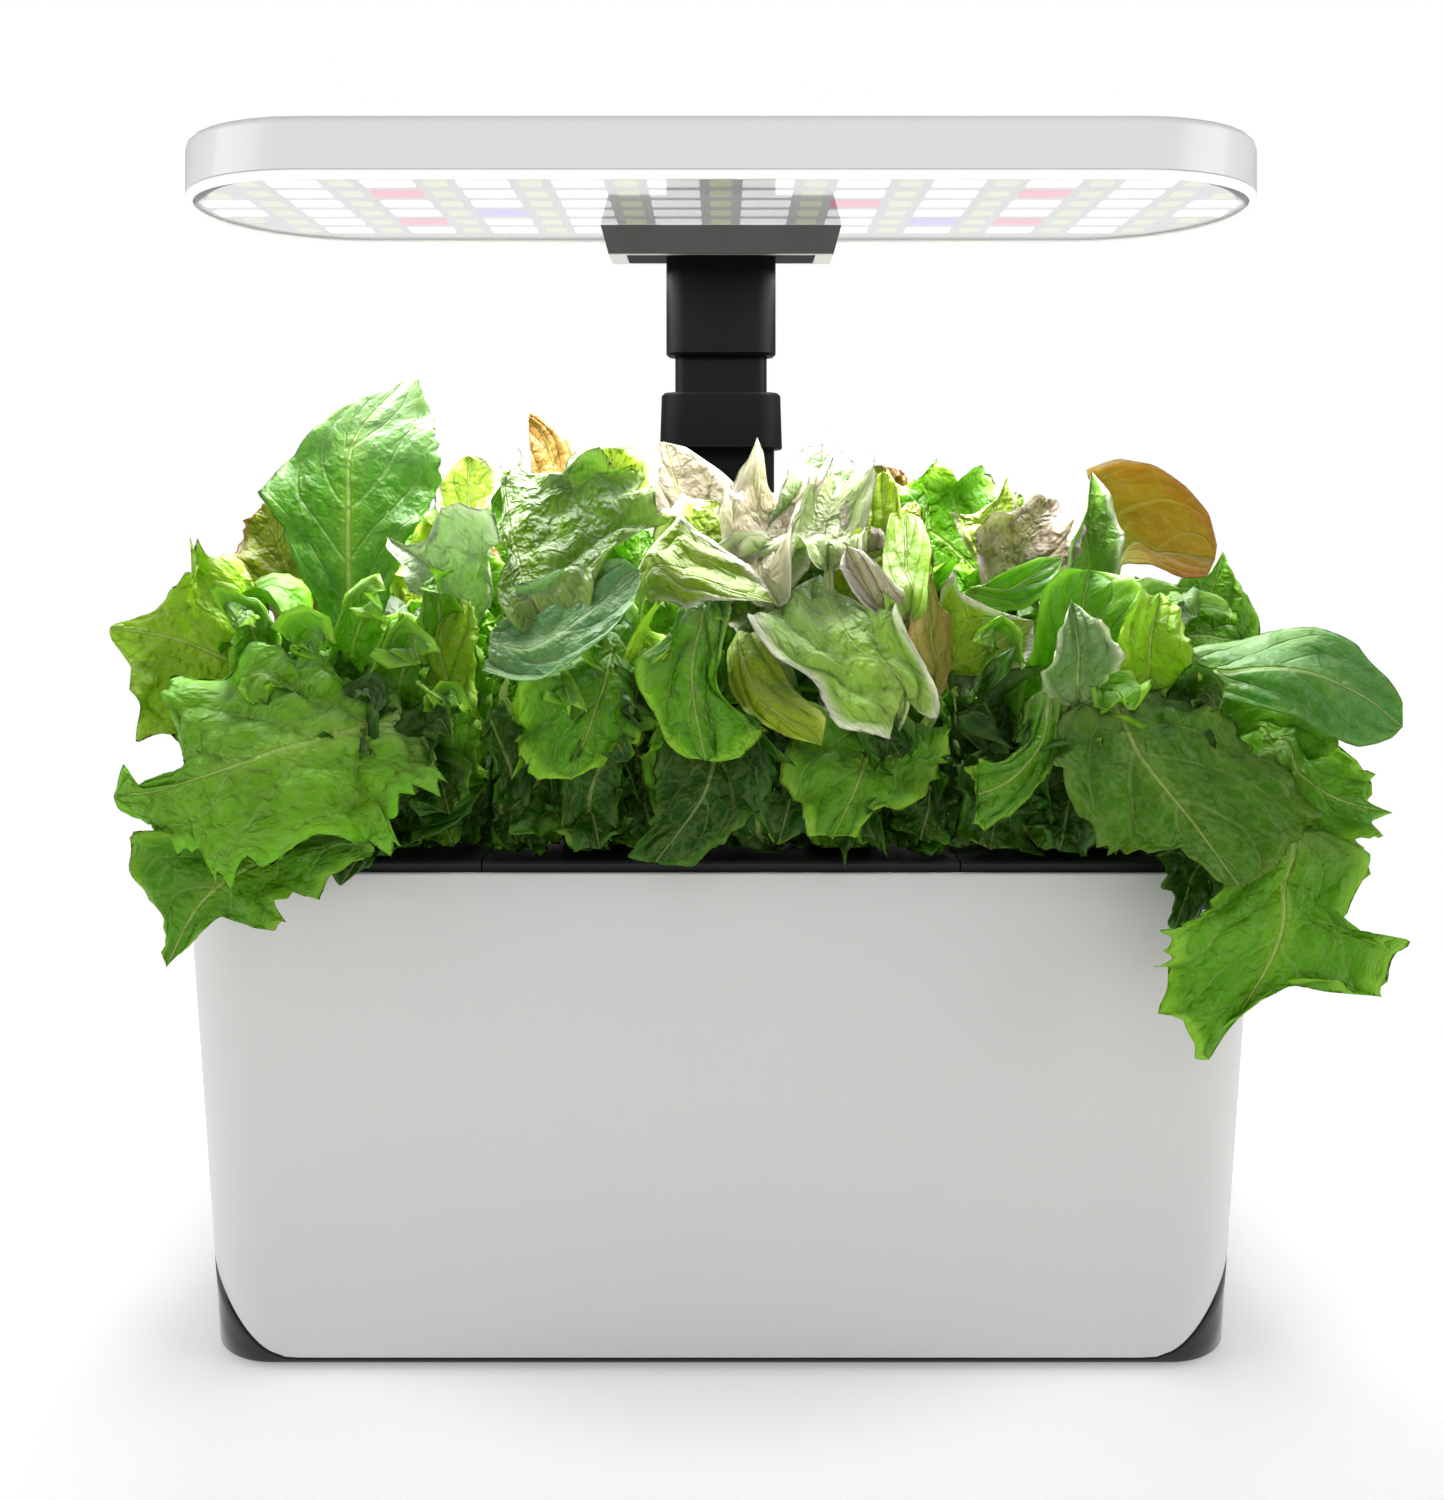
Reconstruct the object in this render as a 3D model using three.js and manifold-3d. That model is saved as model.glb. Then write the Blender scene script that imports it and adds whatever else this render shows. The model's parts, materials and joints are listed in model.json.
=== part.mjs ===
// Countertop hydroponic garden: a tapered water tank with six lettuce pods in a
// three-panel deck, and an LED grow lamp on a telescopic post.
// Millimetres, +Z up, the front faces -Y. The origin is on the table, under the middle.

import * as THREE from 'three';
import { mergeVertices } from 'three/addons/utils/BufferGeometryUtils.js';
import Module from 'manifold-3d';

const wasm = await Module();
wasm.setup();

// Clearances that all pieces share
const seatGap = 0.3; // between pieces that rest on or butt against each other
const slideGap = 0.3; // on each side of a sliding piece
const deckGap = 0.4; // round the deck inside the shell
const overrun = 6; // how far a cutter runs past the face that it cuts

// The tapered tank body
const tankWidth = 376; // at the rim
const tankDepth = 130;
const tankCornerRadius = 28;
const footWidth = 356; // at the bottom edge
const footDepth = 114;
const footCornerRadius = 24;
const baseBottom = 2;
const rimHeight = 172;
const shellWall = 2.4;
const rimRounding = 0.8;

// The arch along which the pale shell gives way to the dark base at each end
const archStartInset = 32;
const archStartZ = 4.2;
const archFirstHandleInset = 21;
const archSecondHandleInset = 10;
const archSecondHandleZ = 17;
const archEndOutset = 8;
const archEndZ = 46;
const archSteps = 12;

// The dark base tray
const baseChamfer = 1.2;
const baseWall = shellWall + seatGap;
const baseFloorTop = 4.6;
const wallOverlap = 0.4; // how far the flush wall runs into the tongue
const tongueWall = 1.8;
const tongueTop = 20;
const footRadius = 8;
const footThickness = 2.6;
const footPocketDepth = 0.9;
const footInsetX = 34;
const footInsetY = 20;
const screwInsetX = 56;
const screwInsetY = 22;
const screwHeadRadius = 3.1;
const screwHeadHeight = 2.2;
const screwShankRadius = 1.5;
const screwLength = 13;
const screwCounterbore = 4.2;
const bossWall = 2.2;
const baseBossTop = 11.4;

// The water tank inside the shell
const waterTankGap = 1.2;
const waterTankWall = 2.2;
const waterTankBottom = 22;

// The deck in three panels
const deckProud = 3.4; // how far the deck stands above the rim
const deckTop = rimHeight + deckProud;
const deckThickness = 2.5;
const skirtWall = 2.5;
const skirtHeight = 9.4;
const skirtBottom = deckTop - skirtHeight;
const waterTankRim = skirtBottom - seatGap;
const seamX = 81;
const seamGap = 0.5;

// The pods
const basketFlangeRadius = 18;
const basketFlangeThickness = 1.5;
const basketTopRadius = 15;
const basketBottomRadius = 10;
const basketGap = 0.5; // round the basket in its hole
const podHoleRadius = basketTopRadius + basketGap;
const basketDepth = 57.4;
const basketBottom = deckTop - basketDepth;
const basketWall = 1.2;
const basketSlotWidth = 3;
const basketSlotMargin = 7;
const basketSlotHigh = skirtBottom - basketSlotWidth;
const basketSlots = 8;
const spongeRecess = 4.4;
const spongeTop = deckTop - spongeRecess;
const centrePodX = seamX / 2;
const centrePodY = -22;
const sidePodX = (seamX + tankWidth / 2) / 2;
const sidePodY = 27;

// The post stands under the rear half of the lamp, and its mount keeps clear of the lamp's rim
const lampDepth = 114;
const mountRearMargin = 10;
const mountDepth = 21.5;
const mountRear = lampDepth / 2 - mountRearMargin;
const mountFront = mountRear - mountDepth;
const postSetback = 12;
const postY = mountRear - postSetback;

// The lettuces: a stem and an umbrella of leaves, each within its own plot
const leafOverhangX = 62;
const leafOverhangY = 35;
const leafReachX = tankWidth / 2 + leafOverhangX;
const leafReachY = tankDepth / 2 + leafOverhangY;
const plotGap = 1.5;
const postPlotMargin = 17; // the centre plots end in front of the post
const postPlotY = postY - postPlotMargin;
const stemRadius = 4.5;
const stemHeight = 19.6;
const leafUnderside = deckTop + stemHeight;
const leafEdgeThickness = 14;
const droopMargin = 20;
const droopWidth = 24;
const leafScallop = 6;
const scallopCount = 7;
const leafSides = 22;
const undersideShares = [0.22, 0.45, 0.6, 0.72, 0.85, 0.97];
const topsideShares = [1, 0.9, 0.7, 0.45, 0.2];

// The post
const innerTubeWidth = 37;
const innerTubeDepth = 11;
const innerTubeRadius = 4;
const innerTubeWall = 1.4;
const innerTubeBottom = 205;
const bushWall = 0.8;
const bushHeight = 24;
const lowerTubeWall = 1.6;
const lowerTubeGrowth = slideGap + bushWall + seatGap + lowerTubeWall;
const lowerTubeWidth = innerTubeWidth + 2 * lowerTubeGrowth;
const lowerTubeDepth = innerTubeDepth + 2 * lowerTubeGrowth;
const lowerTubeRadius = innerTubeRadius + lowerTubeGrowth;
const postSocketFloor = 100;
const postSocketWall = 2.2;
const postSocketDrop = 1.7; // below the tank's rim
const wireWellMargin = 1;
const collarBottom = 320;
const collarTop = 342.6;
const collarWall = 2.2;
const collarFlare = 0.7;
const collarRoof = 2.6;
const lowerTubeTop = collarTop - collarRoof - seatGap;
const sleeveWall = 3.3;
const sleeveBottom = 357.6;
const edgeRounding = 1;

// The lamp
const lampWidth = 400;
const lampEndFlat = 2; // half the straight run of each end
const lampCornerRadius = lampDepth / 2 - lampEndFlat;
const lampTop = 430;
const lampFillet = 3;
const lampFilletSteps = 3;
const housingWall = 2.2;
const rimBottom = 408;
const rimTop = 411;
const housingBottom = rimTop + seatGap;
const rimLip = 2.6;
const rimLipThickness = 0.8;
const rimGrooveWall = 1.3;
const rimShelfThickness = 0.5;
const rimShelfWidth = 8;
const rimTongueWall = 1.8;
const rimTongueHeight = 4;
const lensThickness = 1.4;
const boardThickness = 1.6;
const barRows = 6;
const barColumns = 12;
const barRowPitch = 15.9;
const barPitch = 33.7;
const barWidth = 18.4;
const barDepth = 10.6;
const barHeight = 0.8;
const heatPlateThickness = 2;
const heatPlateInset = 5;
const driverWidth = 120;
const driverDepth = 52;
const driverThickness = 1.6;
const driverY = 18;
const driverPartHeight = 2.6;
const driverPartWidth = 16;
const driverPartDepth = 11;
const driverPartPitch = 26;
const driverPartCount = 4;

// The mount between the post and the lamp
const mountTopWidth = 95.8;
const mountBottomWidth = 89.6;
const mountBottom = 397.5;
const mountSocketHeight = 6.5;
const mountFaceThickness = 1.8;
const mountPlateWidth = 75;
const mountPlateThickness = 1.6;
const mountPlateMargin = 2;
const mountBossRadius = 4;
const mountBossX = 27;

// The buttons on top of the lamp
const buttonX = 11;
const buttonMargin = 16;
const buttonY = lampDepth / 2 - buttonMargin;
const buttonRadius = 5;
const buttonFlangeRadius = 6.6;
const buttonFlangeThickness = 1.6;
const buttonRecess = 0.2;
const buttonTravel = 1;

// The power board and inlet in the bay under the tank
const powerBoardWidth = 70;
const powerBoardDepth = 40;
const powerBoardThickness = 1.6;
const powerBoardX = 60;
const powerBoardBottom = 9;
const powerRibWidth = 3;
const powerPartHeight = 7;
const inletX = 118;
const inletWidth = 12;
const inletHeight = 10;
const inletDepth = 14;
const inletBoreRadius = 3.2;
const inletPinRadius = 1;
const inletBoreDepth = 10;
const inletProud = 0.6;

// The pump on the tank's floor
const pumpX = 66;
const pumpY = 26;
const pumpWidth = 40;
const pumpDepth = 30;
const pumpHeight = 32;
const pumpRadius = 5;
const pumpChamberRadius = 11.5;
const pumpChamberDepth = 14;
const pumpCoverThickness = 3;
const pumpInletRadius = 5;
const impellerRadius = 10.2;
const impellerHubRadius = 4;
const impellerLength = 9;
const impellerBladeThickness = 1.4;
const impellerBlades = 6;
const pumpShaftRadius = 1.5;
const pumpShaftSeat = 5;
const pipeRadius = 5;
const pipeBore = 3.4;
const pipeX = 78;
const pipeDrop = 15.4; // below the deck
const pipeSpigot = 3;

// The level float, in its guide under the centre panel
const floatX = -52;
const floatY = 33;
const floatRadius = 11;
const floatHeight = 20;
const floatDrop = 70.4; // from the deck down to the float
const floatBottom = deckTop - floatDrop;
const floatRodRadius = 2;
const floatRodProud = 3.1;
const guideWall = 1.8;
const guideBottomLip = 5;
const guideSlotWidth = 5;
const guideSlotHeight = 45;

// The fill lid and its pin on the centre panel
const lidX = 52;
const lidWidth = 34;
const lidFrontY = 21;
const lidRearY = 43;
const lidPinOffset = 3.4;
const lidThickness = 2;
const fillInset = 3.5;
const lidPinRadius = 1.2;
const lidKnuckleRadius = 2.8;
const lidKnuckleWidth = 9;
const lidPinZ = deckTop + seatGap + lidKnuckleRadius;
const lidPinY = lidRearY + lidPinOffset;
const lidTabDepth = 4;

// Colours and finishes
const finishes = {
  shell: { color: 0xcbc9c7, roughness: 0.34, metalness: 0 },
  base: { color: 0x17171a, roughness: 0.16, metalness: 0 },
  tank: { color: 0x232426, roughness: 0.5, metalness: 0 },
  rubber: { color: 0x1d1d1d, roughness: 0.85, metalness: 0 },
  steel: { color: 0xb5b7ba, roughness: 0.3, metalness: 1 },
  circuit: { color: 0x1f5a35, roughness: 0.5, metalness: 0 },
  jack: { color: 0x151515, roughness: 0.4, metalness: 0 },
  deck: { color: 0x262627, roughness: 0.42, metalness: 0 },
  pump: { color: 0x2c2e31, roughness: 0.45, metalness: 0 },
  pipe: { color: 0x8f9295, roughness: 0.3, metalness: 0 },
  post: { color: 0x1a1a1b, roughness: 0.38, metalness: 0 },
  bush: { color: 0xd8d8d4, roughness: 0.4, metalness: 0 },
  basket: { color: 0x303133, roughness: 0.5, metalness: 0 },
  sponge: { color: 0x4a3a2b, roughness: 0.95, metalness: 0 },
  leaf: { color: 0x5f9a33, roughness: 0.5, metalness: 0 },
  lamp: { color: 0xdbd9d7, roughness: 0.34, metalness: 0 },
  rim: { color: 0xf4f4f2, roughness: 0.3, metalness: 0 },
  lens: { color: 0xeef0f0, roughness: 0.06, metalness: 0 },
  board: { color: 0xcdcdcb, roughness: 0.45, metalness: 0 },
  aluminium: { color: 0xb9bbbe, roughness: 0.4, metalness: 1 },
  mountFace: { color: 0x4a4a4b, roughness: 0.4, metalness: 0 },
  float: { color: 0xd86a2b, roughness: 0.5, metalness: 0 },
};

const garden = new THREE.Group();

// Shapes and solids

const lerp = THREE.MathUtils.lerp;
const smoothstep = THREE.MathUtils.smoothstep;
const quarterTurn = Math.PI / 2;
const fullTurn = Math.PI * 2;

// A closed geometry becomes a solid that can be joined and cut.
function solid(geometry) {
  const bare = geometry.index ? geometry.toNonIndexed() : geometry.clone();
  bare.deleteAttribute('normal');
  bare.deleteAttribute('uv');
  const merged = mergeVertices(bare);
  return new wasm.Manifold(
    new wasm.Mesh({
      numProp: 3,
      vertProperties: new Float32Array(merged.attributes.position.array),
      triVerts: new Uint32Array(merged.index.array),
    }),
  );
}

function geometryOf(body) {
  const mesh = body.getMesh();
  const geometry = new THREE.BufferGeometry();
  geometry.setAttribute('position', new THREE.BufferAttribute(new Float32Array(mesh.vertProperties), 3));
  geometry.setIndex(new THREE.BufferAttribute(new Uint32Array(mesh.triVerts), 1));
  geometry.computeVertexNormals();
  return geometry;
}

function join(...bodies) {
  return bodies.reduce((sum, body) => sum.add(body));
}

function cut(body, ...cutters) {
  return cutters.reduce((rest, cutter) => rest.subtract(cutter), body);
}

function addPiece(name, body, finish) {
  const mesh = new THREE.Mesh(geometryOf(body), new THREE.MeshStandardMaterial(finishes[finish]));
  mesh.name = name;
  garden.add(mesh);
  return mesh;
}

// A rounded rectangle round the origin, anticlockwise.
function roundedOutline(halfX, halfY, radius, cornerSteps = 6) {
  const points = [];
  const corners = [[1, 1], [-1, 1], [-1, -1], [1, -1]];
  corners.forEach(([signX, signY], corner) => {
    for (let step = 0; step <= cornerSteps; step += 1) {
      const angle = (corner + step / cornerSteps) * quarterTurn;
      points.push(
        new THREE.Vector2(
          signX * (halfX - radius) + radius * Math.cos(angle),
          signY * (halfY - radius) + radius * Math.sin(angle),
        ),
      );
    }
  });
  return points;
}

function ringAt(outline, z, x = 0, y = 0) {
  return outline.map((point) => new THREE.Vector3(point.x + x, point.y + y, z));
}

// Joins rings of equal point counts, from the bottom up, and closes both ends with a fan.
function loft(rings) {
  const count = rings[0].length;
  const points = rings.flat();
  const middle = (ring) => ring.reduce((sum, p) => sum.add(p), new THREE.Vector3()).divideScalar(count);
  const bottomMiddle = points.push(middle(rings[0])) - 1;
  const topMiddle = points.push(middle(rings[rings.length - 1])) - 1;
  const index = [];
  for (let side = 0; side < count; side += 1) {
    const next = (side + 1) % count;
    const top = (rings.length - 1) * count;
    index.push(bottomMiddle, next, side);
    index.push(topMiddle, top + side, top + next);
    for (let level = 0; level < rings.length - 1; level += 1) {
      const low = level * count;
      const high = low + count;
      index.push(low + side, low + next, high + next);
      index.push(low + side, high + next, high + side);
    }
  }
  const geometry = new THREE.BufferGeometry();
  geometry.setAttribute('position', new THREE.Float32BufferAttribute(points.flatMap((p) => p.toArray()), 3));
  geometry.setIndex(index);
  return solid(geometry);
}

// An upright block with a rounded rectangle as its plan.
function post(width, depth, radius, low, high, x = 0, y = 0) {
  const outline = roundedOutline(width / 2, depth / 2, radius, 5);
  return loft([ringAt(outline, low, x, y), ringAt(outline, high, x, y)]);
}

function box(lowX, highX, lowY, highY, lowZ, highZ) {
  const geometry = new THREE.BoxGeometry(highX - lowX, highY - lowY, highZ - lowZ);
  geometry.translate((lowX + highX) / 2, (lowY + highY) / 2, (lowZ + highZ) / 2);
  return solid(geometry);
}

function uprightCylinder(radius, low, high, x, y, sides = 14) {
  const geometry = new THREE.CylinderGeometry(radius, radius, high - low, sides);
  geometry.rotateX(quarterTurn);
  geometry.translate(x, y, (low + high) / 2);
  return solid(geometry);
}

function crosswiseCylinder(radius, lowX, highX, y, z, sides = 14) {
  const geometry = new THREE.CylinderGeometry(radius, radius, highX - lowX, sides);
  geometry.rotateZ(quarterTurn);
  geometry.translate((lowX + highX) / 2, y, z);
  return solid(geometry);
}

function lathe(profile, sides, x, y) {
  const geometry = new THREE.LatheGeometry(profile.map(([radius, z]) => new THREE.Vector2(radius, z)), sides);
  geometry.rotateX(quarterTurn);
  geometry.translate(x, y, 0);
  return solid(geometry);
}

// The tank's outline at a height, set in from the outer surface.
function tankRing(z, inset) {
  const share = (z - baseBottom) / (rimHeight - baseBottom);
  const radius = lerp(footCornerRadius, tankCornerRadius, share) - inset;
  const halfX = lerp(footWidth, tankWidth, share) / 2 - inset;
  const halfY = lerp(footDepth, tankDepth, share) / 2 - inset;
  return ringAt(roundedOutline(halfX, halfY, radius), z);
}

function tankBlock(low, high, inset) {
  return loft([tankRing(low, inset), tankRing(high, inset)]);
}

// Everything above the arch, as seen from the front. A shift moves the arch down and out.
function aboveArch(shift, highZ) {
  const curve = new THREE.CubicBezierCurve(
    new THREE.Vector2(footWidth / 2 - archStartInset + shift, archStartZ - shift),
    new THREE.Vector2(footWidth / 2 - archFirstHandleInset + shift, archStartZ - shift),
    new THREE.Vector2(footWidth / 2 - archSecondHandleInset + shift, archSecondHandleZ - shift),
    new THREE.Vector2(footWidth / 2 + archEndOutset + shift, archEndZ - shift),
  );
  const right = curve.getPoints(archSteps);
  const edgeX = Math.max(tankWidth, footWidth + 2 * archEndOutset) / 2 + overrun;
  right.push(new THREE.Vector2(edgeX, archEndZ - shift));
  right.push(new THREE.Vector2(edgeX, highZ));
  const left = right.map((point) => new THREE.Vector2(-point.x, point.y)).reverse();
  const depth = Math.max(tankDepth, footDepth) + 2 * overrun;
  const geometry = new THREE.ExtrudeGeometry(new THREE.Shape([...right, ...left]), {
    depth,
    bevelEnabled: false,
  });
  geometry.rotateX(quarterTurn);
  geometry.translate(0, depth / 2, 0);
  return solid(geometry);
}

// The shell, the base, the feet and the screws

const waterTankInset = shellWall + waterTankGap;
const footX = footWidth / 2 - footInsetX;
const footY = footDepth / 2 - footInsetY;
const screwX = footWidth / 2 - screwInsetX;
const screwY = footDepth / 2 - screwInsetY;
const fourCorners = [[-1, -1], [1, -1], [-1, 1], [1, 1]];

function makeOuterShell() {
  const outside = loft([
    tankRing(baseBottom, 0),
    tankRing(rimHeight - rimRounding, 0),
    tankRing(rimHeight, rimRounding),
  ]);
  const inside = tankBlock(baseBottom - overrun, rimHeight + overrun, shellWall);
  return cut(outside, inside, inletBlock(seatGap)).intersect(aboveArch(0, rimHeight + overrun));
}

function inletBlock(gap) {
  const wallY = tankRing(powerBoardBottom, 0).reduce((most, p) => Math.max(most, p.y), 0);
  const low = baseFloorTop + seatGap - gap;
  return box(
    inletX - inletWidth / 2 - gap,
    inletX + inletWidth / 2 + gap,
    wallY + inletProud - inletDepth,
    wallY + inletProud + (gap > 0 ? overrun : 0),
    low,
    low + inletHeight + 2 * gap,
  );
}

function makeBaseShell() {
  const outside = loft([
    tankRing(baseBottom, baseChamfer),
    tankRing(baseBottom + baseChamfer, 0),
    tankRing(archEndZ, 0),
  ]);
  const flushWall = cut(
    outside,
    aboveArch(seatGap, archEndZ + overrun),
    tankBlock(baseFloorTop, archEndZ + overrun, baseWall + wallOverlap),
  );
  const tongue = cut(
    tankBlock(baseBottom, tongueTop, baseWall),
    tankBlock(baseFloorTop, tongueTop + overrun, baseWall + tongueWall),
  );
  let body = join(flushWall, tongue);
  const bossRadius = screwShankRadius + seatGap + bossWall;
  fourCorners.forEach(([signX, signY]) => {
    const x = signX * screwX;
    const y = signY * screwY;
    body = cut(
      join(body, uprightCylinder(bossRadius + bossWall, baseBottom, baseBossTop, x, y)),
      uprightCylinder(screwShankRadius + seatGap, baseBottom - overrun, baseBossTop + overrun, x, y),
      uprightCylinder(screwHeadRadius + seatGap, baseBottom - overrun, baseBottom + screwCounterbore, x, y),
      uprightCylinder(
        footRadius + seatGap,
        baseBottom - overrun,
        baseBottom + footPocketDepth,
        signX * footX,
        signY * footY,
        20,
      ),
    );
  });
  const ribTop = powerBoardBottom - seatGap;
  [-1, 1].forEach((side) => {
    const ribX = powerBoardX + side * (powerBoardWidth / 2 - powerRibWidth);
    const rib = box(
      ribX - powerRibWidth / 2,
      ribX + powerRibWidth / 2,
      -powerBoardDepth / 2,
      powerBoardDepth / 2,
      baseBottom + baseChamfer,
      ribTop,
    );
    body = join(body, rib);
  });
  return cut(body, inletBlock(seatGap));
}

function makeFoot(x, y) {
  return uprightCylinder(footRadius, 0, footThickness, x, y, 20);
}

function makeBaseScrew(x, y) {
  const headTop = baseBottom + screwCounterbore - seatGap;
  return join(
    uprightCylinder(screwHeadRadius, headTop - screwHeadHeight, headTop, x, y, 12),
    uprightCylinder(screwShankRadius, headTop - screwHeadHeight / 2, headTop + screwLength, x, y, 8),
  );
}

// The water tank, with the socket that holds the post clear of the water

const postSocketWidth = lowerTubeWidth + 2 * slideGap;
const postSocketDepth = lowerTubeDepth + 2 * slideGap;
const socketRadius = lowerTubeRadius + slideGap;
const socketRim = waterTankRim - postSocketDrop;

function makeWaterTank() {
  const floorTop = waterTankBottom + waterTankWall;
  const ledge = slideGap + lowerTubeWall + wireWellMargin;
  let body = cut(
    tankBlock(waterTankBottom, waterTankRim, waterTankInset),
    tankBlock(floorTop, waterTankRim + overrun, waterTankInset + waterTankWall),
  );
  body = join(
    body,
    post(
      postSocketWidth + 2 * postSocketWall,
      postSocketDepth + 2 * postSocketWall,
      socketRadius + postSocketWall,
      waterTankBottom,
      socketRim,
      0,
      postY,
    ),
  );
  body = cut(
    body,
    post(postSocketWidth, postSocketDepth, socketRadius, postSocketFloor, socketRim + overrun, 0, postY),
    post(
      postSocketWidth - 2 * ledge,
      postSocketDepth - 2 * ledge,
      socketRadius - ledge,
      waterTankBottom - overrun,
      socketRim,
      0,
      postY,
    ),
  );
  const bossRadius = screwShankRadius + seatGap + bossWall;
  const screwTop = baseBottom + screwCounterbore - seatGap + screwLength;
  fourCorners.forEach(([signX, signY]) => {
    const x = signX * screwX;
    const y = signY * screwY;
    body = join(body, uprightCylinder(bossRadius, baseBossTop + seatGap, floorTop, x, y));
    body = cut(body, uprightCylinder(screwShankRadius + seatGap, baseBottom, screwTop + seatGap, x, y));
  });
  return body;
}

// The power board and the inlet

function makePowerBoard() {
  const top = powerBoardBottom + powerBoardThickness;
  const board = box(
    powerBoardX - powerBoardWidth / 2,
    powerBoardX + powerBoardWidth / 2,
    -powerBoardDepth / 2,
    powerBoardDepth / 2,
    powerBoardBottom,
    top,
  );
  const coilRadius = powerPartHeight;
  const coil = uprightCylinder(coilRadius, powerBoardBottom, top + powerPartHeight, powerBoardX - coilRadius, 0);
  const chipLeft = powerBoardX + coilRadius;
  const chip = box(chipLeft, chipLeft + 2 * coilRadius, -coilRadius, coilRadius, powerBoardBottom,
    top + powerPartHeight / 2);
  return join(board, coil, chip);
}

function makeInlet() {
  const block = inletBlock(0);
  const bounds = block.boundingBox();
  const z = (bounds.min[2] + bounds.max[2]) / 2;
  const lengthwise = (radius, lowY, highY) => {
    const geometry = new THREE.CylinderGeometry(radius, radius, highY - lowY, 20);
    geometry.translate(inletX, (lowY + highY) / 2, z);
    return solid(geometry);
  };
  const rear = bounds.max[1];
  const bored = cut(block, lengthwise(inletBoreRadius, rear - inletBoreDepth, rear + overrun));
  return join(bored, lengthwise(inletPinRadius, rear - inletBoreDepth - inletPinRadius, rear - inletPinRadius));
}

// The deck panels

function deckBlank() {
  const inset = shellWall + deckGap;
  const blank = loft([
    tankRing(skirtBottom, inset),
    tankRing(deckTop - rimRounding, inset),
    tankRing(deckTop, inset + rimRounding),
  ]);
  return cut(blank, tankBlock(skirtBottom - overrun, deckTop - deckThickness, inset + skirtWall));
}

function deckPanel(lowX, highX, pods) {
  const reachY = tankDepth / 2 + overrun;
  const slab = box(lowX, highX, -reachY, reachY, skirtBottom - overrun, deckTop + overrun);
  const holes = pods.map((pod) => (
    uprightCylinder(podHoleRadius, skirtBottom, deckTop + overrun, pod.x, pod.y, 32)
  ));
  return cut(deckBlank().intersect(slab), ...holes);
}

const lidLeft = lidX - lidWidth / 2;
const lidRight = lidX + lidWidth / 2;
const lidBottom = deckTop + seatGap;

function knuckle(centreX, width) {
  const lowX = centreX - width / 2;
  const highX = centreX + width / 2;
  return { lowX, highX, body: crosswiseCylinder(lidKnuckleRadius, lowX, highX, lidPinY, lidPinZ, 18) };
}

function makeCentreDeck(pods) {
  const panel = deckPanel(-seamX + seamGap / 2, seamX - seamGap / 2, pods);
  const under = deckTop - deckThickness - overrun;
  const ears = [lidLeft + lidKnuckleWidth / 2, lidRight - lidKnuckleWidth / 2].map((x) => {
    const ear = knuckle(x, lidKnuckleWidth);
    const web = box(
      ear.lowX,
      ear.highX,
      lidPinY,
      lidPinY + lidKnuckleRadius,
      deckTop - deckThickness / 2,
      lidPinZ,
    );
    return join(ear.body, web);
  });
  return cut(
    join(panel, ...ears),
    crosswiseCylinder(lidPinRadius + slideGap, lidLeft - overrun, lidRight + overrun, lidPinY, lidPinZ, 16),
    post(postSocketWidth, postSocketDepth, socketRadius, under, deckTop + overrun, 0, postY),
    box(
      lidLeft + fillInset,
      lidRight - fillInset,
      lidFrontY + fillInset,
      lidRearY - fillInset,
      under,
      deckTop + overrun,
    ),
    uprightCylinder(floatRodRadius + slideGap, under, deckTop + overrun, floatX, floatY, 16),
  );
}

function makeFillLid() {
  const top = lidBottom + lidThickness;
  const lidInset = seatGap;
  const plate = box(lidLeft + lidInset, lidRight - lidInset, lidFrontY, lidRearY, lidBottom, top);
  const tab = box(
    lidX - lidKnuckleWidth / 2,
    lidX + lidKnuckleWidth / 2,
    lidFrontY - lidTabDepth,
    lidFrontY + lidTabDepth,
    lidBottom,
    top,
  );
  const middleWidth = lidWidth - 2 * lidKnuckleWidth - 2 * seatGap;
  const middle = knuckle(lidX, middleWidth);
  const web = box(middle.lowX, middle.highX, lidRearY - lidThickness, lidPinY, lidBottom, top);
  const bore = crosswiseCylinder(lidPinRadius + slideGap, lidLeft, lidRight, lidPinY, lidPinZ, 16);
  return cut(join(plate, tab, middle.body, web), bore);
}

function makeLidPin() {
  return crosswiseCylinder(lidPinRadius, lidLeft - seatGap, lidRight + seatGap, lidPinY, lidPinZ, 16);
}

// A pod: the slotted basket, the sponge in it and the plant's collision form

const basketTop = deckTop + seatGap;

function basketRadiusAt(z) {
  const share = (z - basketBottom) / (basketTop - basketBottom);
  return lerp(basketBottomRadius, basketTopRadius, share);
}

function makeBasket(x, y) {
  const floorTop = basketBottom + basketWall;
  const flangeTop = basketTop + basketFlangeThickness;
  const body = lathe(
    [
      [0, basketBottom],
      [basketBottomRadius, basketBottom],
      [basketTopRadius, basketTop],
      [basketFlangeRadius, basketTop],
      [basketFlangeRadius, flangeTop],
      [basketTopRadius - basketWall, flangeTop],
      [basketRadiusAt(floorTop) - basketWall, floorTop],
      [0, floorTop],
    ],
    12,
    x,
    y,
  );
  const slots = [];
  const slotLow = basketBottom + basketSlotMargin;
  for (let slot = 0; slot < basketSlots / 2; slot += 1) {
    const geometry = new THREE.BoxGeometry(
      2 * basketFlangeRadius,
      basketSlotWidth,
      basketSlotHigh - slotLow,
    );
    geometry.rotateZ((slot / basketSlots) * fullTurn);
    geometry.translate(x, y, (slotLow + basketSlotHigh) / 2);
    slots.push(solid(geometry));
  }
  return cut(body, ...slots);
}

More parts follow.
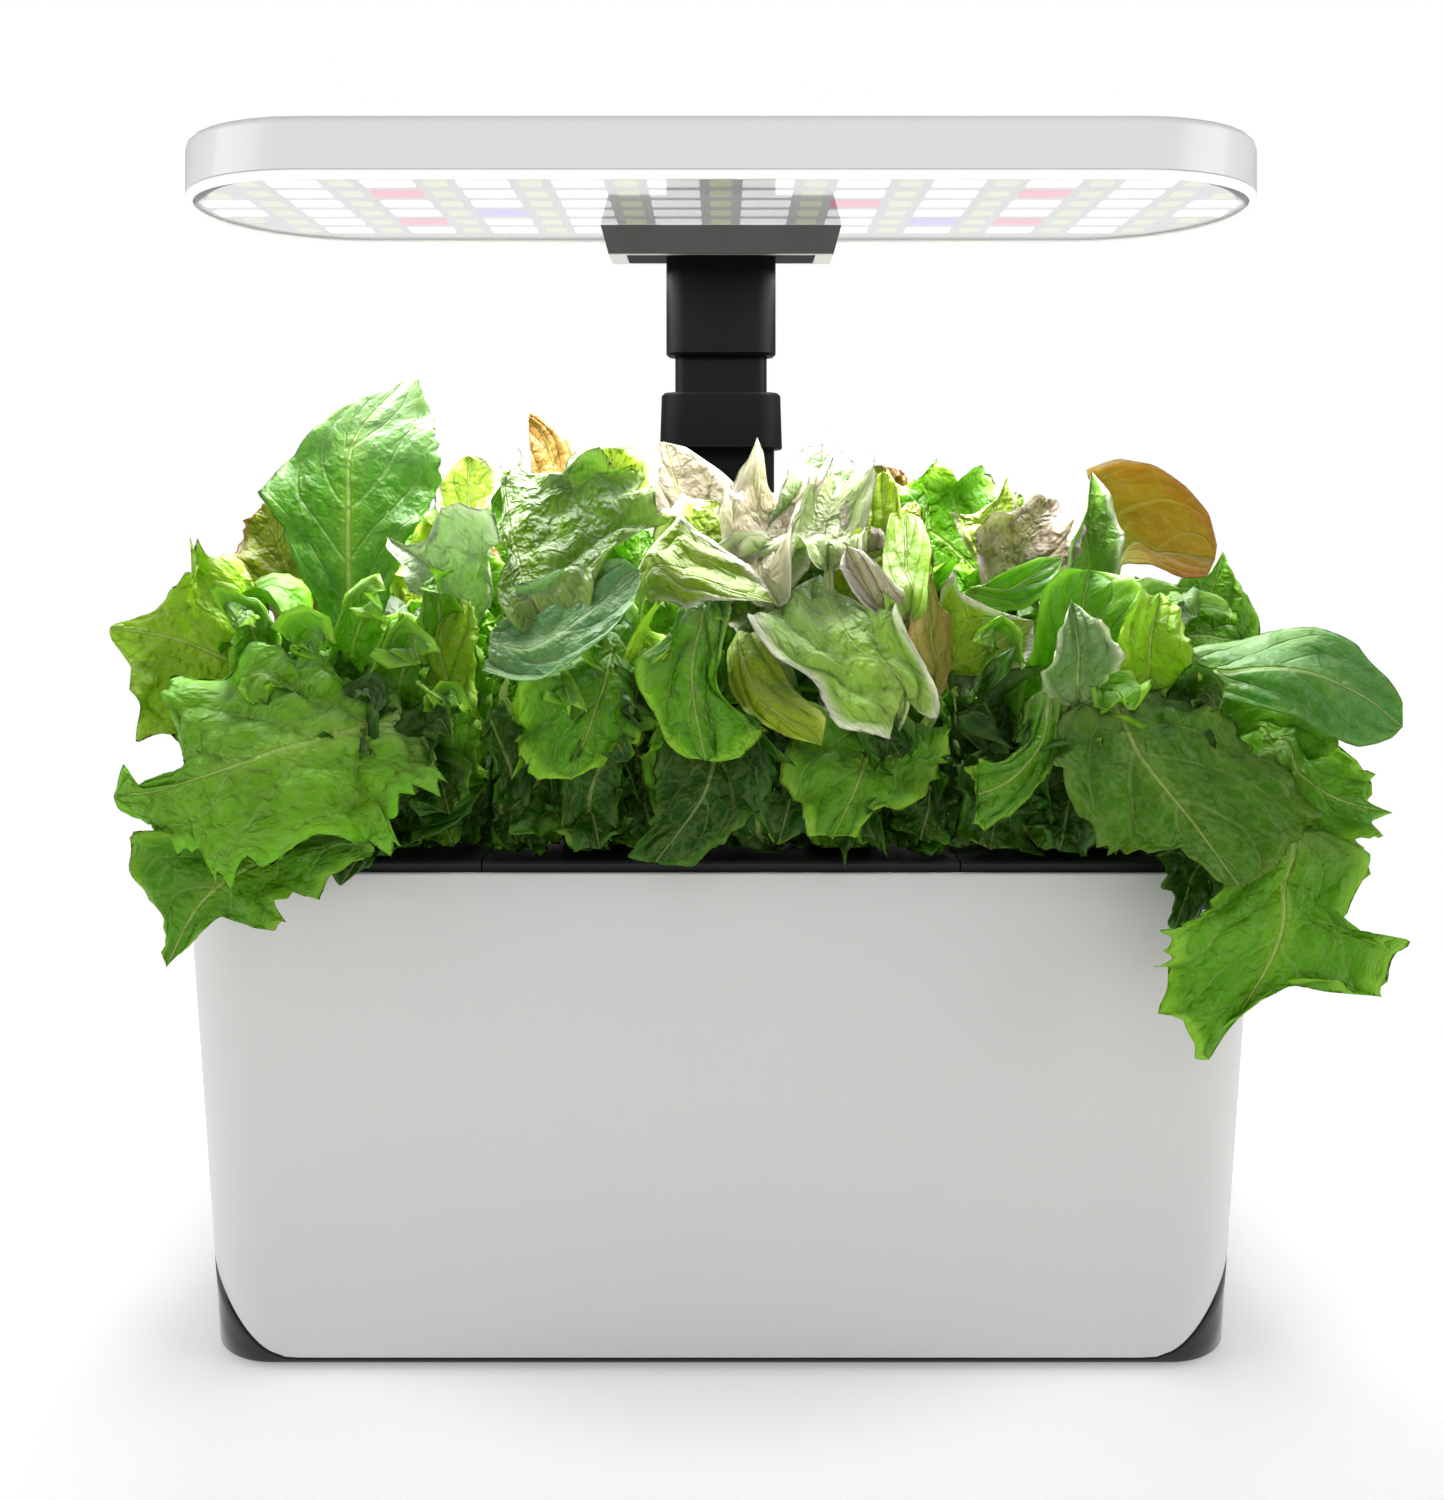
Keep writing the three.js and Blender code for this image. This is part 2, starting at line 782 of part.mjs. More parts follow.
function makeSponge(x, y) {
  const low = basketBottom + basketWall + seatGap;
  const lowRadius = basketRadiusAt(low) - basketWall - 2 * seatGap;
  const topRadius = basketRadiusAt(spongeTop) - basketWall - 2 * seatGap;
  const profile = [[0, low], [lowRadius, low], [topRadius, spongeTop], [0, spongeTop]];
  return lathe(profile, 12, x, y);
}

// How far a plan point lies outside the tank's rim.
function outsideRim(x, y) {
  const dx = Math.abs(x) - (tankWidth / 2 - tankCornerRadius);
  const dy = Math.abs(y) - (tankDepth / 2 - tankCornerRadius);
  return Math.hypot(Math.max(dx, 0), Math.max(dy, 0)) + Math.min(Math.max(dx, dy), 0) - tankCornerRadius;
}

// Rings climb the stem, run out along the underside, turn over the leaf edge and close on the crown.
// Beyond the rim the outer leaves hang down.
function makeLettuce(pod) {
  const { x, y, plot } = pod;
  const crown = deckTop + pod.rise;
  const hang = deckTop - pod.drop;
  const reach = (angle) => {
    const cos = Math.cos(angle);
    const sin = Math.sin(angle);
    const toX = (cos > 0 ? plot.highX - x : x - plot.lowX) / Math.max(Math.abs(cos), Number.EPSILON);
    const toY = (sin > 0 ? plot.highY - y : y - plot.lowY) / Math.max(Math.abs(sin), Number.EPSILON);
    const scallop = leafScallop * (0.5 - 0.5 * Math.cos(scallopCount * angle));
    return Math.min(toX, toY) - scallop;
  };
  const underside = (px, py) => {
    const share = smoothstep(outsideRim(px, py), droopMargin, droopMargin + droopWidth);
    return lerp(leafUnderside, hang, share);
  };
  const leafRing = (share, topside) => {
    const ring = [];
    for (let side = 0; side < leafSides; side += 1) {
      const angle = (side / leafSides) * fullTurn;
      const radius = stemRadius + (reach(angle) - stemRadius) * share;
      const px = x + radius * Math.cos(angle);
      const py = y + radius * Math.sin(angle);
      const low = underside(px, py);
      const dome = Math.sqrt(Math.max(0, 1 - share * share));
      const high = low + leafEdgeThickness + (crown - low - leafEdgeThickness) * dome;
      ring.push(new THREE.Vector3(px, py, topside ? high : low));
    }
    return ring;
  };
  const stemBottom = spongeTop + seatGap;
  const stemRing = (z) => {
    const ring = [];
    for (let side = 0; side < leafSides; side += 1) {
      const angle = (side / leafSides) * fullTurn;
      ring.push(new THREE.Vector3(x + stemRadius * Math.cos(angle), y + stemRadius * Math.sin(angle), z));
    }
    return ring;
  };
  return loft([
    stemRing(stemBottom),
    stemRing(leafUnderside - stemRadius),
    ...undersideShares.map((share) => leafRing(share, false)),
    ...topsideShares.map((share) => leafRing(share, true)),
  ]);
}

// The plots share the space round the post without touching.
const sideEdge = seamX + plotGap / 2;
const centreEdge = seamX - plotGap / 2;
const pods = [
  {
    name: 'left_front', panel: 'left', x: -sidePodX, y: -sidePodY, rise: 147, drop: 39,
    plot: { lowX: -leafReachX, highX: -sideEdge, lowY: -leafReachY, highY: -plotGap / 2 },
  },
  {
    name: 'left_rear', panel: 'left', x: -sidePodX, y: sidePodY, rise: 173, drop: 0,
    plot: { lowX: -leafReachX, highX: -sideEdge, lowY: plotGap / 2, highY: leafReachY },
  },
  {
    name: 'centre_left', panel: 'centre', x: -centrePodX, y: centrePodY, rise: 145, drop: -9,
    plot: { lowX: -centreEdge, highX: -plotGap / 2, lowY: -leafReachY, highY: postPlotY },
  },
  {
    name: 'centre_right', panel: 'centre', x: centrePodX, y: centrePodY, rise: 145, drop: -9,
    plot: { lowX: plotGap / 2, highX: centreEdge, lowY: -leafReachY, highY: postPlotY },
  },
  {
    name: 'right_front', panel: 'right', x: sidePodX, y: -sidePodY, rise: 143, drop: 67,
    plot: { lowX: sideEdge, highX: leafReachX, lowY: -leafReachY, highY: -plotGap / 2 },
  },
  {
    name: 'right_rear', panel: 'right', x: sidePodX, y: sidePodY, rise: 147, drop: 0,
    plot: { lowX: sideEdge, highX: leafReachX, lowY: plotGap / 2, highY: leafReachY },
  },
];

// The post

const lowerTubeBottom = postSocketFloor + seatGap;
const lowerBoreWidth = lowerTubeWidth - 2 * lowerTubeWall;
const lowerBoreDepth = lowerTubeDepth - 2 * lowerTubeWall;
const lowerBoreRadius = lowerTubeRadius - lowerTubeWall;
const innerWayWidth = innerTubeWidth + 2 * slideGap;
const innerWayDepth = innerTubeDepth + 2 * slideGap;
const innerWayRadius = innerTubeRadius + slideGap;
const innerTubeTop = mountBottom + mountSocketHeight;

function makeLowerTube() {
  return cut(
    post(lowerTubeWidth, lowerTubeDepth, lowerTubeRadius, lowerTubeBottom, lowerTubeTop, 0, postY),
    post(
      lowerBoreWidth,
      lowerBoreDepth,
      lowerBoreRadius,
      lowerTubeBottom - overrun,
      lowerTubeTop + overrun,
      0,
      postY,
    ),
  );
}

function makeBush() {
  const top = lowerTubeTop - seatGap;
  const low = top - bushHeight;
  return cut(
    post(
      lowerBoreWidth - 2 * seatGap,
      lowerBoreDepth - 2 * seatGap,
      lowerBoreRadius - seatGap,
      low,
      top,
      0,
      postY,
    ),
    post(innerWayWidth, innerWayDepth, innerWayRadius, low - overrun, top + overrun, 0, postY),
  );
}

function makeCollar() {
  const width = lowerTubeWidth + 2 * (seatGap + collarWall);
  const depth = lowerTubeDepth + 2 * (seatGap + collarWall);
  const radius = lowerTubeRadius + seatGap + collarWall;
  const levels = [
    [collarBottom, collarFlare - edgeRounding / 2],
    [collarBottom + edgeRounding / 2, collarFlare],
    [collarTop - edgeRounding, 0],
    [collarTop, -edgeRounding],
  ];
  const outside = loft(levels.map(([z, grow]) => (
    ringAt(roundedOutline(width / 2 + grow, depth / 2 + grow, radius + grow, 5), z, 0, postY)
  )));
  const tubeWay = post(
    lowerTubeWidth + 2 * seatGap,
    lowerTubeDepth + 2 * seatGap,
    lowerTubeRadius + seatGap,
    collarBottom - overrun,
    collarTop - collarRoof,
    0,
    postY,
  );
  const innerWay = post(
    innerWayWidth,
    innerWayDepth,
    innerWayRadius,
    collarBottom,
    collarTop + overrun,
    0,
    postY,
  );
  return cut(outside, tubeWay, innerWay);
}

function makeInnerTube() {
  const wall = innerTubeWall;
  return cut(
    post(innerTubeWidth, innerTubeDepth, innerTubeRadius, innerTubeBottom, innerTubeTop, 0, postY),
    post(
      innerTubeWidth - 2 * wall,
      innerTubeDepth - 2 * wall,
      innerTubeRadius - wall,
      innerTubeBottom - overrun,
      innerTubeTop + overrun,
      0,
      postY,
    ),
  );
}

function makeSleeve() {
  const top = mountBottom - seatGap;
  const levels = [
    [sleeveBottom, edgeRounding],
    [sleeveBottom + edgeRounding, 0],
    [top, 0],
  ];
  const outside = loft(levels.map(([z, inset]) => (
    ringAt(
      roundedOutline(
        innerWayWidth / 2 + sleeveWall - inset,
        innerWayDepth / 2 + sleeveWall - inset,
        innerWayRadius + sleeveWall - inset,
        5,
      ),
      z,
      0,
      postY,
    )
  )));
  return cut(
    outside,
    post(innerWayWidth, innerWayDepth, innerWayRadius, sleeveBottom - overrun, top + overrun, 0, postY),
  );
}

// The lamp

function lampRing(z, inset) {
  const outline = roundedOutline(
    lampWidth / 2 - inset,
    lampDepth / 2 - inset,
    lampCornerRadius - inset,
    9,
  );
  return ringAt(outline, z);
}

function lampBlock(low, high, inset) {
  return loft([lampRing(low, inset), lampRing(high, inset)]);
}

const lensBottom = rimBottom + rimLipThickness + seatGap;
const lensTop = lensBottom + lensThickness;
const shelfBottom = rimTop - rimShelfThickness;
const boardBottom = rimTop + seatGap;
const boardTop = boardBottom + boardThickness;
const heatPlateBottom = boardTop + seatGap;
const heatPlateTop = heatPlateBottom + heatPlateThickness;
const rimTongueInset = housingWall + seatGap;
const boardInset = rimTongueInset + rimTongueWall + seatGap;
const mountBosses = [-mountBossX, mountBossX];
const mountMiddleY = (mountFront + mountRear) / 2;

function mountHoles(low, high) {
  return mountBosses.map((x) => uprightCylinder(mountBossRadius + seatGap, low, high, x, mountMiddleY));
}

function makeHousing() {
  const rings = [lampRing(housingBottom, 0)];
  for (let step = 0; step <= lampFilletSteps; step += 1) {
    const angle = (step / lampFilletSteps) * quarterTurn;
    const z = lampTop - lampFillet + lampFillet * Math.sin(angle);
    rings.push(lampRing(z, lampFillet * (1 - Math.cos(angle))));
  }
  const buttonHoles = [-buttonX, buttonX].map((x) => (
    uprightCylinder(buttonRadius + slideGap, housingBottom, lampTop + overrun, x, buttonY, 24)
  ));
  return cut(
    loft(rings),
    lampBlock(housingBottom - overrun, lampTop - housingWall, housingWall),
    ...buttonHoles,
  );
}

function makeRim() {
  const body = cut(
    lampBlock(rimBottom, rimTop, 0),
    lampBlock(rimBottom - overrun, rimTop, rimLip),
    lampBlock(rimBottom + rimLipThickness, shelfBottom, rimGrooveWall),
  );
  const shelf = cut(
    lampBlock(shelfBottom, rimTop, 0),
    lampBlock(shelfBottom - overrun, rimTop + overrun, rimShelfWidth),
  );
  const tongue = cut(
    lampBlock(shelfBottom, rimTop + rimTongueHeight, rimTongueInset),
    lampBlock(shelfBottom - overrun, lampTop, rimTongueInset + rimTongueWall),
  );
  return join(body, shelf, tongue);
}

function makeLens() {
  const sheet = lampBlock(lensBottom, lensTop, rimGrooveWall + seatGap);
  return cut(sheet, ...mountHoles(lensBottom - overrun, lensTop + overrun));
}

// Wide light bars stand between columns of small chips, which are too flat to model.
function makeLedBoard() {
  let body = lampBlock(boardBottom, boardTop, boardInset);
  const fits = (x, y) => {
    const inset = rimShelfWidth + seatGap;
    const halfX = lampWidth / 2 - inset;
    const halfY = lampDepth / 2 - inset;
    const radius = lampCornerRadius - inset;
    const cornerX = Math.max(Math.abs(x) + barWidth / 2 - (halfX - radius), 0);
    const cornerY = Math.max(Math.abs(y) + barDepth / 2 - (halfY - radius), 0);
    return Math.hypot(cornerX, cornerY) < radius;
  };
  const barLow = boardBottom - barHeight;
  for (let row = 0; row < barRows; row += 1) {
    const y = (row - (barRows - 1) / 2) * barRowPitch;
    for (let bar = 0; bar < barColumns; bar += 1) {
      const x = (bar - (barColumns - 1) / 2) * barPitch;
      const lowX = x - barWidth / 2;
      const lowY = y - barDepth / 2;
      if (fits(x, y)) {
        body = join(
          body,
          box(lowX, lowX + barWidth, lowY, lowY + barDepth, barLow, boardBottom + barHeight),
        );
      }
    }
  }
  return cut(body, ...mountHoles(boardBottom - overrun, boardTop + overrun));
}

function makeHeatPlate() {
  return lampBlock(heatPlateBottom, heatPlateTop, heatPlateInset);
}

function makeDriverBoard() {
  const low = heatPlateTop + seatGap;
  const top = low + driverThickness;
  const halfX = driverWidth / 2;
  const halfY = driverDepth / 2;
  let body = box(-halfX, halfX, driverY - halfY, driverY + halfY, low, top);
  for (let part = 0; part < driverPartCount; part += 1) {
    const x = (part - (driverPartCount - 1) / 2) * driverPartPitch;
    const y = driverY - halfY / 2;
    body = join(
      body,
      box(
        x - driverPartWidth / 2,
        x + driverPartWidth / 2,
        y - driverPartDepth / 2,
        y + driverPartDepth / 2,
        low,
        top + driverPartHeight,
      ),
    );
  }
  const switchTop = lampTop - housingWall - seatGap - buttonFlangeThickness - buttonTravel - 2 * seatGap;
  [-buttonX, buttonX].forEach((x) => {
    body = join(body, uprightCylinder(buttonRadius / 2, low, switchTop, x, buttonY, 12));
  });
  return body;
}

function makeButton(x) {
  const top = lampTop - buttonRecess;
  const flangeTop = lampTop - housingWall - seatGap;
  const flangeBottom = flangeTop - buttonFlangeThickness;
  return join(
    uprightCylinder(buttonRadius, flangeBottom, top, x, buttonY, 24),
    uprightCylinder(buttonFlangeRadius, flangeBottom, flangeTop, x, buttonY, 24),
  );
}

// The mount

function mountPrism(frontY, rearY, low, high) {
  const shape = new THREE.Shape([
    new THREE.Vector2(-mountBottomWidth / 2, low),
    new THREE.Vector2(mountBottomWidth / 2, low),
    new THREE.Vector2(mountTopWidth / 2, high),
    new THREE.Vector2(-mountTopWidth / 2, high),
  ]);
  const geometry = new THREE.ExtrudeGeometry(shape, { depth: rearY - frontY, bevelEnabled: false });
  geometry.rotateX(quarterTurn);
  geometry.translate(0, rearY, 0);
  return solid(geometry);
}

const mountTop = rimBottom + rimLipThickness;

function mountPlateBox(gap, high) {
  return box(
    -mountPlateWidth / 2 - gap,
    mountPlateWidth / 2 + gap,
    mountFront + mountPlateMargin - gap,
    mountRear - mountPlateMargin + gap,
    mountBottom - (gap > 0 ? overrun : 0),
    high + gap,
  );
}

function makeMount() {
  let body = mountPrism(mountFront, mountRear, mountBottom, mountTop);
  mountBosses.forEach((x) => {
    const top = heatPlateBottom - seatGap;
    body = join(body, uprightCylinder(mountBossRadius, mountTop - mountBossRadius, top, x, mountMiddleY));
  });
  return cut(
    body,
    mountPlateBox(seatGap, mountBottom + mountPlateThickness),
    post(innerWayWidth, innerWayDepth, innerWayRadius, mountBottom, innerTubeTop + seatGap, 0, postY),
  );
}

function makeMountPlate() {
  return cut(
    mountPlateBox(0, mountBottom + mountPlateThickness),
    post(
      innerWayWidth,
      innerWayDepth,
      innerWayRadius,
      mountBottom - overrun,
      mountBottom + mountPlateThickness + overrun,
      0,
      postY,
    ),
  );
}

function makeMountFace() {
  const rear = mountFront - seatGap;
  return mountPrism(rear - mountFaceThickness, rear, mountBottom, mountTop);
}

// The pump

const tankFloorTop = waterTankBottom + waterTankWall;
const pumpBottom = tankFloorTop + seatGap;
const pumpTop = pumpBottom + pumpHeight;
const pumpMiddleZ = (pumpBottom + pumpTop) / 2;
const pumpLeft = pumpX - pumpWidth / 2;
const chamberEnd = pumpLeft + pumpChamberDepth;

function makePumpBody() {
  return cut(
    post(pumpWidth, pumpDepth, pumpRadius, pumpBottom, pumpTop, pumpX, pumpY),
    crosswiseCylinder(pumpChamberRadius, pumpLeft - overrun, chamberEnd, pumpY, pumpMiddleZ, 28),
    crosswiseCylinder(
      pumpShaftRadius + seatGap,
      chamberEnd - overrun,
      chamberEnd + pumpShaftSeat,
      pumpY,
      pumpMiddleZ,
      14,
    ),
    uprightCylinder(pipeRadius + seatGap, pumpTop - pipeSpigot, pumpTop + overrun, pipeX, pumpY),
    uprightCylinder(pipeBore, pumpMiddleZ, pumpTop, pipeX, pumpY),
  );
}

function makePumpCover() {
  const highX = pumpLeft - seatGap;
  const lowX = highX - pumpCoverThickness;
  const plate = box(
    lowX,
    highX,
    pumpY - pumpChamberRadius,
    pumpY + pumpChamberRadius,
    pumpBottom,
    pumpTop,
  );
  return cut(plate, crosswiseCylinder(pumpInletRadius, lowX - overrun, highX + overrun, pumpY, pumpMiddleZ));
}

function makePumpShaft() {
  const lowX = pumpLeft + seatGap;
  return crosswiseCylinder(pumpShaftRadius, lowX, chamberEnd + pumpShaftSeat - seatGap, pumpY, pumpMiddleZ, 14);
}

function makeImpeller() {
  const highX = chamberEnd - 2 * seatGap;
  const lowX = highX - impellerLength;
  let body = crosswiseCylinder(impellerHubRadius, lowX, highX, pumpY, pumpMiddleZ, 18);
  for (let blade = 0; blade < impellerBlades; blade += 1) {
    const length = impellerRadius - impellerHubRadius / 2;
    const geometry = new THREE.BoxGeometry(impellerLength, impellerBladeThickness, length);
    geometry.translate(0, 0, impellerHubRadius / 2 + length / 2);
    geometry.rotateX((blade / impellerBlades) * fullTurn);
    geometry.translate((lowX + highX) / 2, pumpY, pumpMiddleZ);
    body = join(body, solid(geometry));
  }
  const bore = pumpShaftRadius + slideGap;
  return cut(body, crosswiseCylinder(bore, lowX - overrun, highX + overrun, pumpY, pumpMiddleZ, 14));
}

function makePumpPipe() {
  const low = pumpTop - pipeSpigot + seatGap;
  return cut(
    uprightCylinder(pipeRadius, low, deckTop - pipeDrop, pipeX, pumpY),
    uprightCylinder(pipeBore, low - overrun, deckTop, pipeX, pumpY),
  );
}

// The level float

function makeFloat() {
  const top = floatBottom + floatHeight;
  return join(
    uprightCylinder(floatRadius, floatBottom, top, floatX, floatY, 28),
    uprightCylinder(floatRodRadius, top - floatRodRadius, deckTop + floatRodProud, floatX, floatY, 16),
  );
}

function makeFloatGuide() {
  const top = deckTop - deckThickness - seatGap;
  const bore = floatRadius + slideGap;
  const low = floatBottom - seatGap - guideWall;
  const slotReach = floatRadius + 2 * guideWall;
  return cut(
    uprightCylinder(bore + guideWall, low, top, floatX, floatY, 28),
    uprightCylinder(bore, floatBottom - seatGap, top + overrun, floatX, floatY, 28),
    uprightCylinder(floatRadius - guideBottomLip, low - overrun, top, floatX, floatY),
    box(
      floatX - slotReach,
      floatX + slotReach,
      floatY - guideSlotWidth / 2,
      floatY + guideSlotWidth / 2,
      floatBottom,
      floatBottom + guideSlotHeight,
    ),
  );
}

// The whole garden, piece by piece

addPiece('outer_shell', makeOuterShell(), 'shell');
addPiece('base_shell', makeBaseShell(), 'base');
addPiece('water_tank', makeWaterTank(), 'tank');
fourCorners.forEach(([signX, signY], corner) => {
  addPiece(`foot_${corner + 1}`, makeFoot(signX * footX, signY * footY), 'rubber');
  addPiece(`base_screw_${corner + 1}`, makeBaseScrew(signX * screwX, signY * screwY), 'steel');
});
addPiece('power_board', makePowerBoard(), 'circuit');
addPiece('dc_inlet', makeInlet(), 'jack');

const podsOn = (panel) => pods.filter((pod) => pod.panel === panel);
const deckEdge = tankWidth / 2 + overrun;
addPiece('centre_deck', makeCentreDeck(podsOn('centre')), 'deck');
addPiece('left_deck', deckPanel(-deckEdge, -seamX - seamGap / 2, podsOn('left')), 'deck');
addPiece('right_deck', deckPanel(seamX + seamGap / 2, deckEdge, podsOn('right')), 'deck');
addPiece('fill_lid', makeFillLid(), 'deck');
addPiece('fill_lid_pin', makeLidPin(), 'steel');
pods.forEach((pod) => {
  addPiece(`basket_${pod.name}`, makeBasket(pod.x, pod.y), 'basket');
  addPiece(`sponge_${pod.name}`, makeSponge(pod.x, pod.y), 'sponge');
  addPiece(`lettuce_${pod.name}`, makeLettuce(pod), 'leaf');
});

addPiece('pump_body', makePumpBody(), 'pump');
addPiece('pump_cover', makePumpCover(), 'pump');
addPiece('pump_shaft', makePumpShaft(), 'steel');
addPiece('pump_impeller', makeImpeller(), 'bush');
addPiece('pump_pipe', makePumpPipe(), 'pipe');
addPiece('level_float', makeFloat(), 'float');
addPiece('float_guide', makeFloatGuide(), 'pipe');

addPiece('post_lower_tube', makeLowerTube(), 'post');
addPiece('post_bush', makeBush(), 'bush');
addPiece('post_collar', makeCollar(), 'post');
addPiece('post_inner_tube', makeInnerTube(), 'post');
addPiece('post_sleeve', makeSleeve(), 'post');

addPiece('lamp_mount', makeMount(), 'lamp');
addPiece('mount_face', makeMountFace(), 'mountFace');
addPiece('mount_plate', makeMountPlate(), 'post');
addPiece('lamp_housing', makeHousing(), 'lamp');
addPiece('lamp_rim', makeRim(), 'rim');
addPiece('lamp_lens', makeLens(), 'lens');
addPiece('led_board', makeLedBoard(), 'board');
addPiece('heat_plate', makeHeatPlate(), 'aluminium');
addPiece('driver_board', makeDriverBoard(), 'circuit');
addPiece('light_button', makeButton(-buttonX), 'lamp');
addPiece('mode_button', makeButton(buttonX), 'lamp');

export default garden;
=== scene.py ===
"""Looks of a countertop hydroponic garden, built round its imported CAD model.

Pieces are in millimetres. Materials, floor, lights and camera are in metres.
"""
import json
import math

import bpy
import numpy as np
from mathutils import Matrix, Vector

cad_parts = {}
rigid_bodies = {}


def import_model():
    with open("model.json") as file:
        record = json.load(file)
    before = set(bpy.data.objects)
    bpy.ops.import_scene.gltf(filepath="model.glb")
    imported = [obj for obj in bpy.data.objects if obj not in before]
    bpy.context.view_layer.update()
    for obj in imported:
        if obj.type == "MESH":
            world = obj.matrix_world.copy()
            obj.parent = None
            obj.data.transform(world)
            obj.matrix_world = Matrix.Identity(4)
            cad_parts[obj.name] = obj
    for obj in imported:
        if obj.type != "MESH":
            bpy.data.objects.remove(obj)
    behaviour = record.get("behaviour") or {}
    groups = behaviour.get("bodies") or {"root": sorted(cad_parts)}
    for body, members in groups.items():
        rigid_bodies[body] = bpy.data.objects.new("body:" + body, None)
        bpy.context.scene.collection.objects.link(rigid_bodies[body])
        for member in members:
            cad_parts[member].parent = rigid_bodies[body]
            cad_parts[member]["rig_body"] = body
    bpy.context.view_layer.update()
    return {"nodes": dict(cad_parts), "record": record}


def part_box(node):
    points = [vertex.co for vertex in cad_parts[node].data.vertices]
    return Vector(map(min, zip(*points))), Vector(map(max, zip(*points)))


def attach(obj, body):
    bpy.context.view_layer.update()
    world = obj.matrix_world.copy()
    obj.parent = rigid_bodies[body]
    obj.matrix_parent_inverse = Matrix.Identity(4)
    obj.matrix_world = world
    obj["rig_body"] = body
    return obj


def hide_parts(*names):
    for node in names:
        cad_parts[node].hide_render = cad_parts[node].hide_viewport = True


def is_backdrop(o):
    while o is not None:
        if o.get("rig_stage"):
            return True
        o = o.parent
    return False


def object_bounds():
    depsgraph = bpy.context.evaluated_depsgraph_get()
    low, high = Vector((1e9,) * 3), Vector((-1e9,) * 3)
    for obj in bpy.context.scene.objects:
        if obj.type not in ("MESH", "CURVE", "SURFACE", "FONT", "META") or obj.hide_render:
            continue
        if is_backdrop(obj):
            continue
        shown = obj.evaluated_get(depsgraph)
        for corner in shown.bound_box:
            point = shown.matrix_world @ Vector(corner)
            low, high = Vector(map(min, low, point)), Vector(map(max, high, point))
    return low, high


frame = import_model()

metre = 0.001
circle = 2 * math.pi
tiny = 1e-9
rim_height = 172.0

# Camera that was fitted to the photo: sizes in millimetres, places in the picture in its pixels
camera_reach = 553.0
camera_height = 287.5
focal_pixels = 1450.0
picture_width = 1444
picture_height = 1500
middle_column = 721
horizon_row = 530

body_of_node = {name: node["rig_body"] for name, node in frame["nodes"].items()}


# Small sums

def srgb(red, green, blue):
    """Linear colour of a screen colour given in 0 to 255, by the usual power law with its straight foot."""
    shares = np.array([red, green, blue], float) / 255
    return tuple(np.where(shares <= 0.04045, shares / 12.92, ((shares + 0.055) / 1.055) ** 2.4))


def smooth(low, high, value):
    """S-shaped step from 0 at low to 1 at high."""
    share = np.clip((value - low) / (high - low), 0, 1)
    return share * share * (3 - 2 * share)


def wobble(share, random, waves, terms=3):
    """Sum of a few sine waves with seeded phases, of about unit height, along share."""
    total = np.zeros_like(share)
    for term in range(terms):
        count = waves * (0.6 + 0.5 * term) * random.uniform(0.85, 1.15)
        total = total + np.sin(circle * (count * share + random.random())) / (1 + 0.7 * term)
    return total / 1.5


# Shader sums

class Value:
    """A shader socket that takes part in sums: each sum adds one Math node."""

    def __init__(self, shade, socket):
        self.shade = shade
        self.socket = socket

    def twin(self, output):
        """Another output of the node that this socket is on."""
        return Value(self.shade, self.socket.node.outputs[output])

    def maths(self, operation, *others):
        """Math node on this value and the others."""
        node = self.shade.tree.nodes.new("ShaderNodeMath")
        node.operation = operation
        for place, item in enumerate((self,) + others):
            self.shade.join(node.inputs[place], item)
        return Value(self.shade, node.outputs[0])

    def __add__(self, other):
        return self.maths("ADD", other)

    def __sub__(self, other):
        return self.maths("SUBTRACT", other)

    def __mul__(self, other):
        return self.maths("MULTIPLY", other)

    def __truediv__(self, other):
        return self.maths("DIVIDE", other)

    def __rsub__(self, other):
        return (self * -1) + other

    __radd__ = __add__
    __rmul__ = __mul__

    def step(self, low, high):
        """S-shaped step from 0 at low to 1 at high."""
        return self.shade.add("MapRange", dict(interpolation_type="SMOOTHSTEP"), 0,
                              Value=self, From_Min=low, From_Max=high)


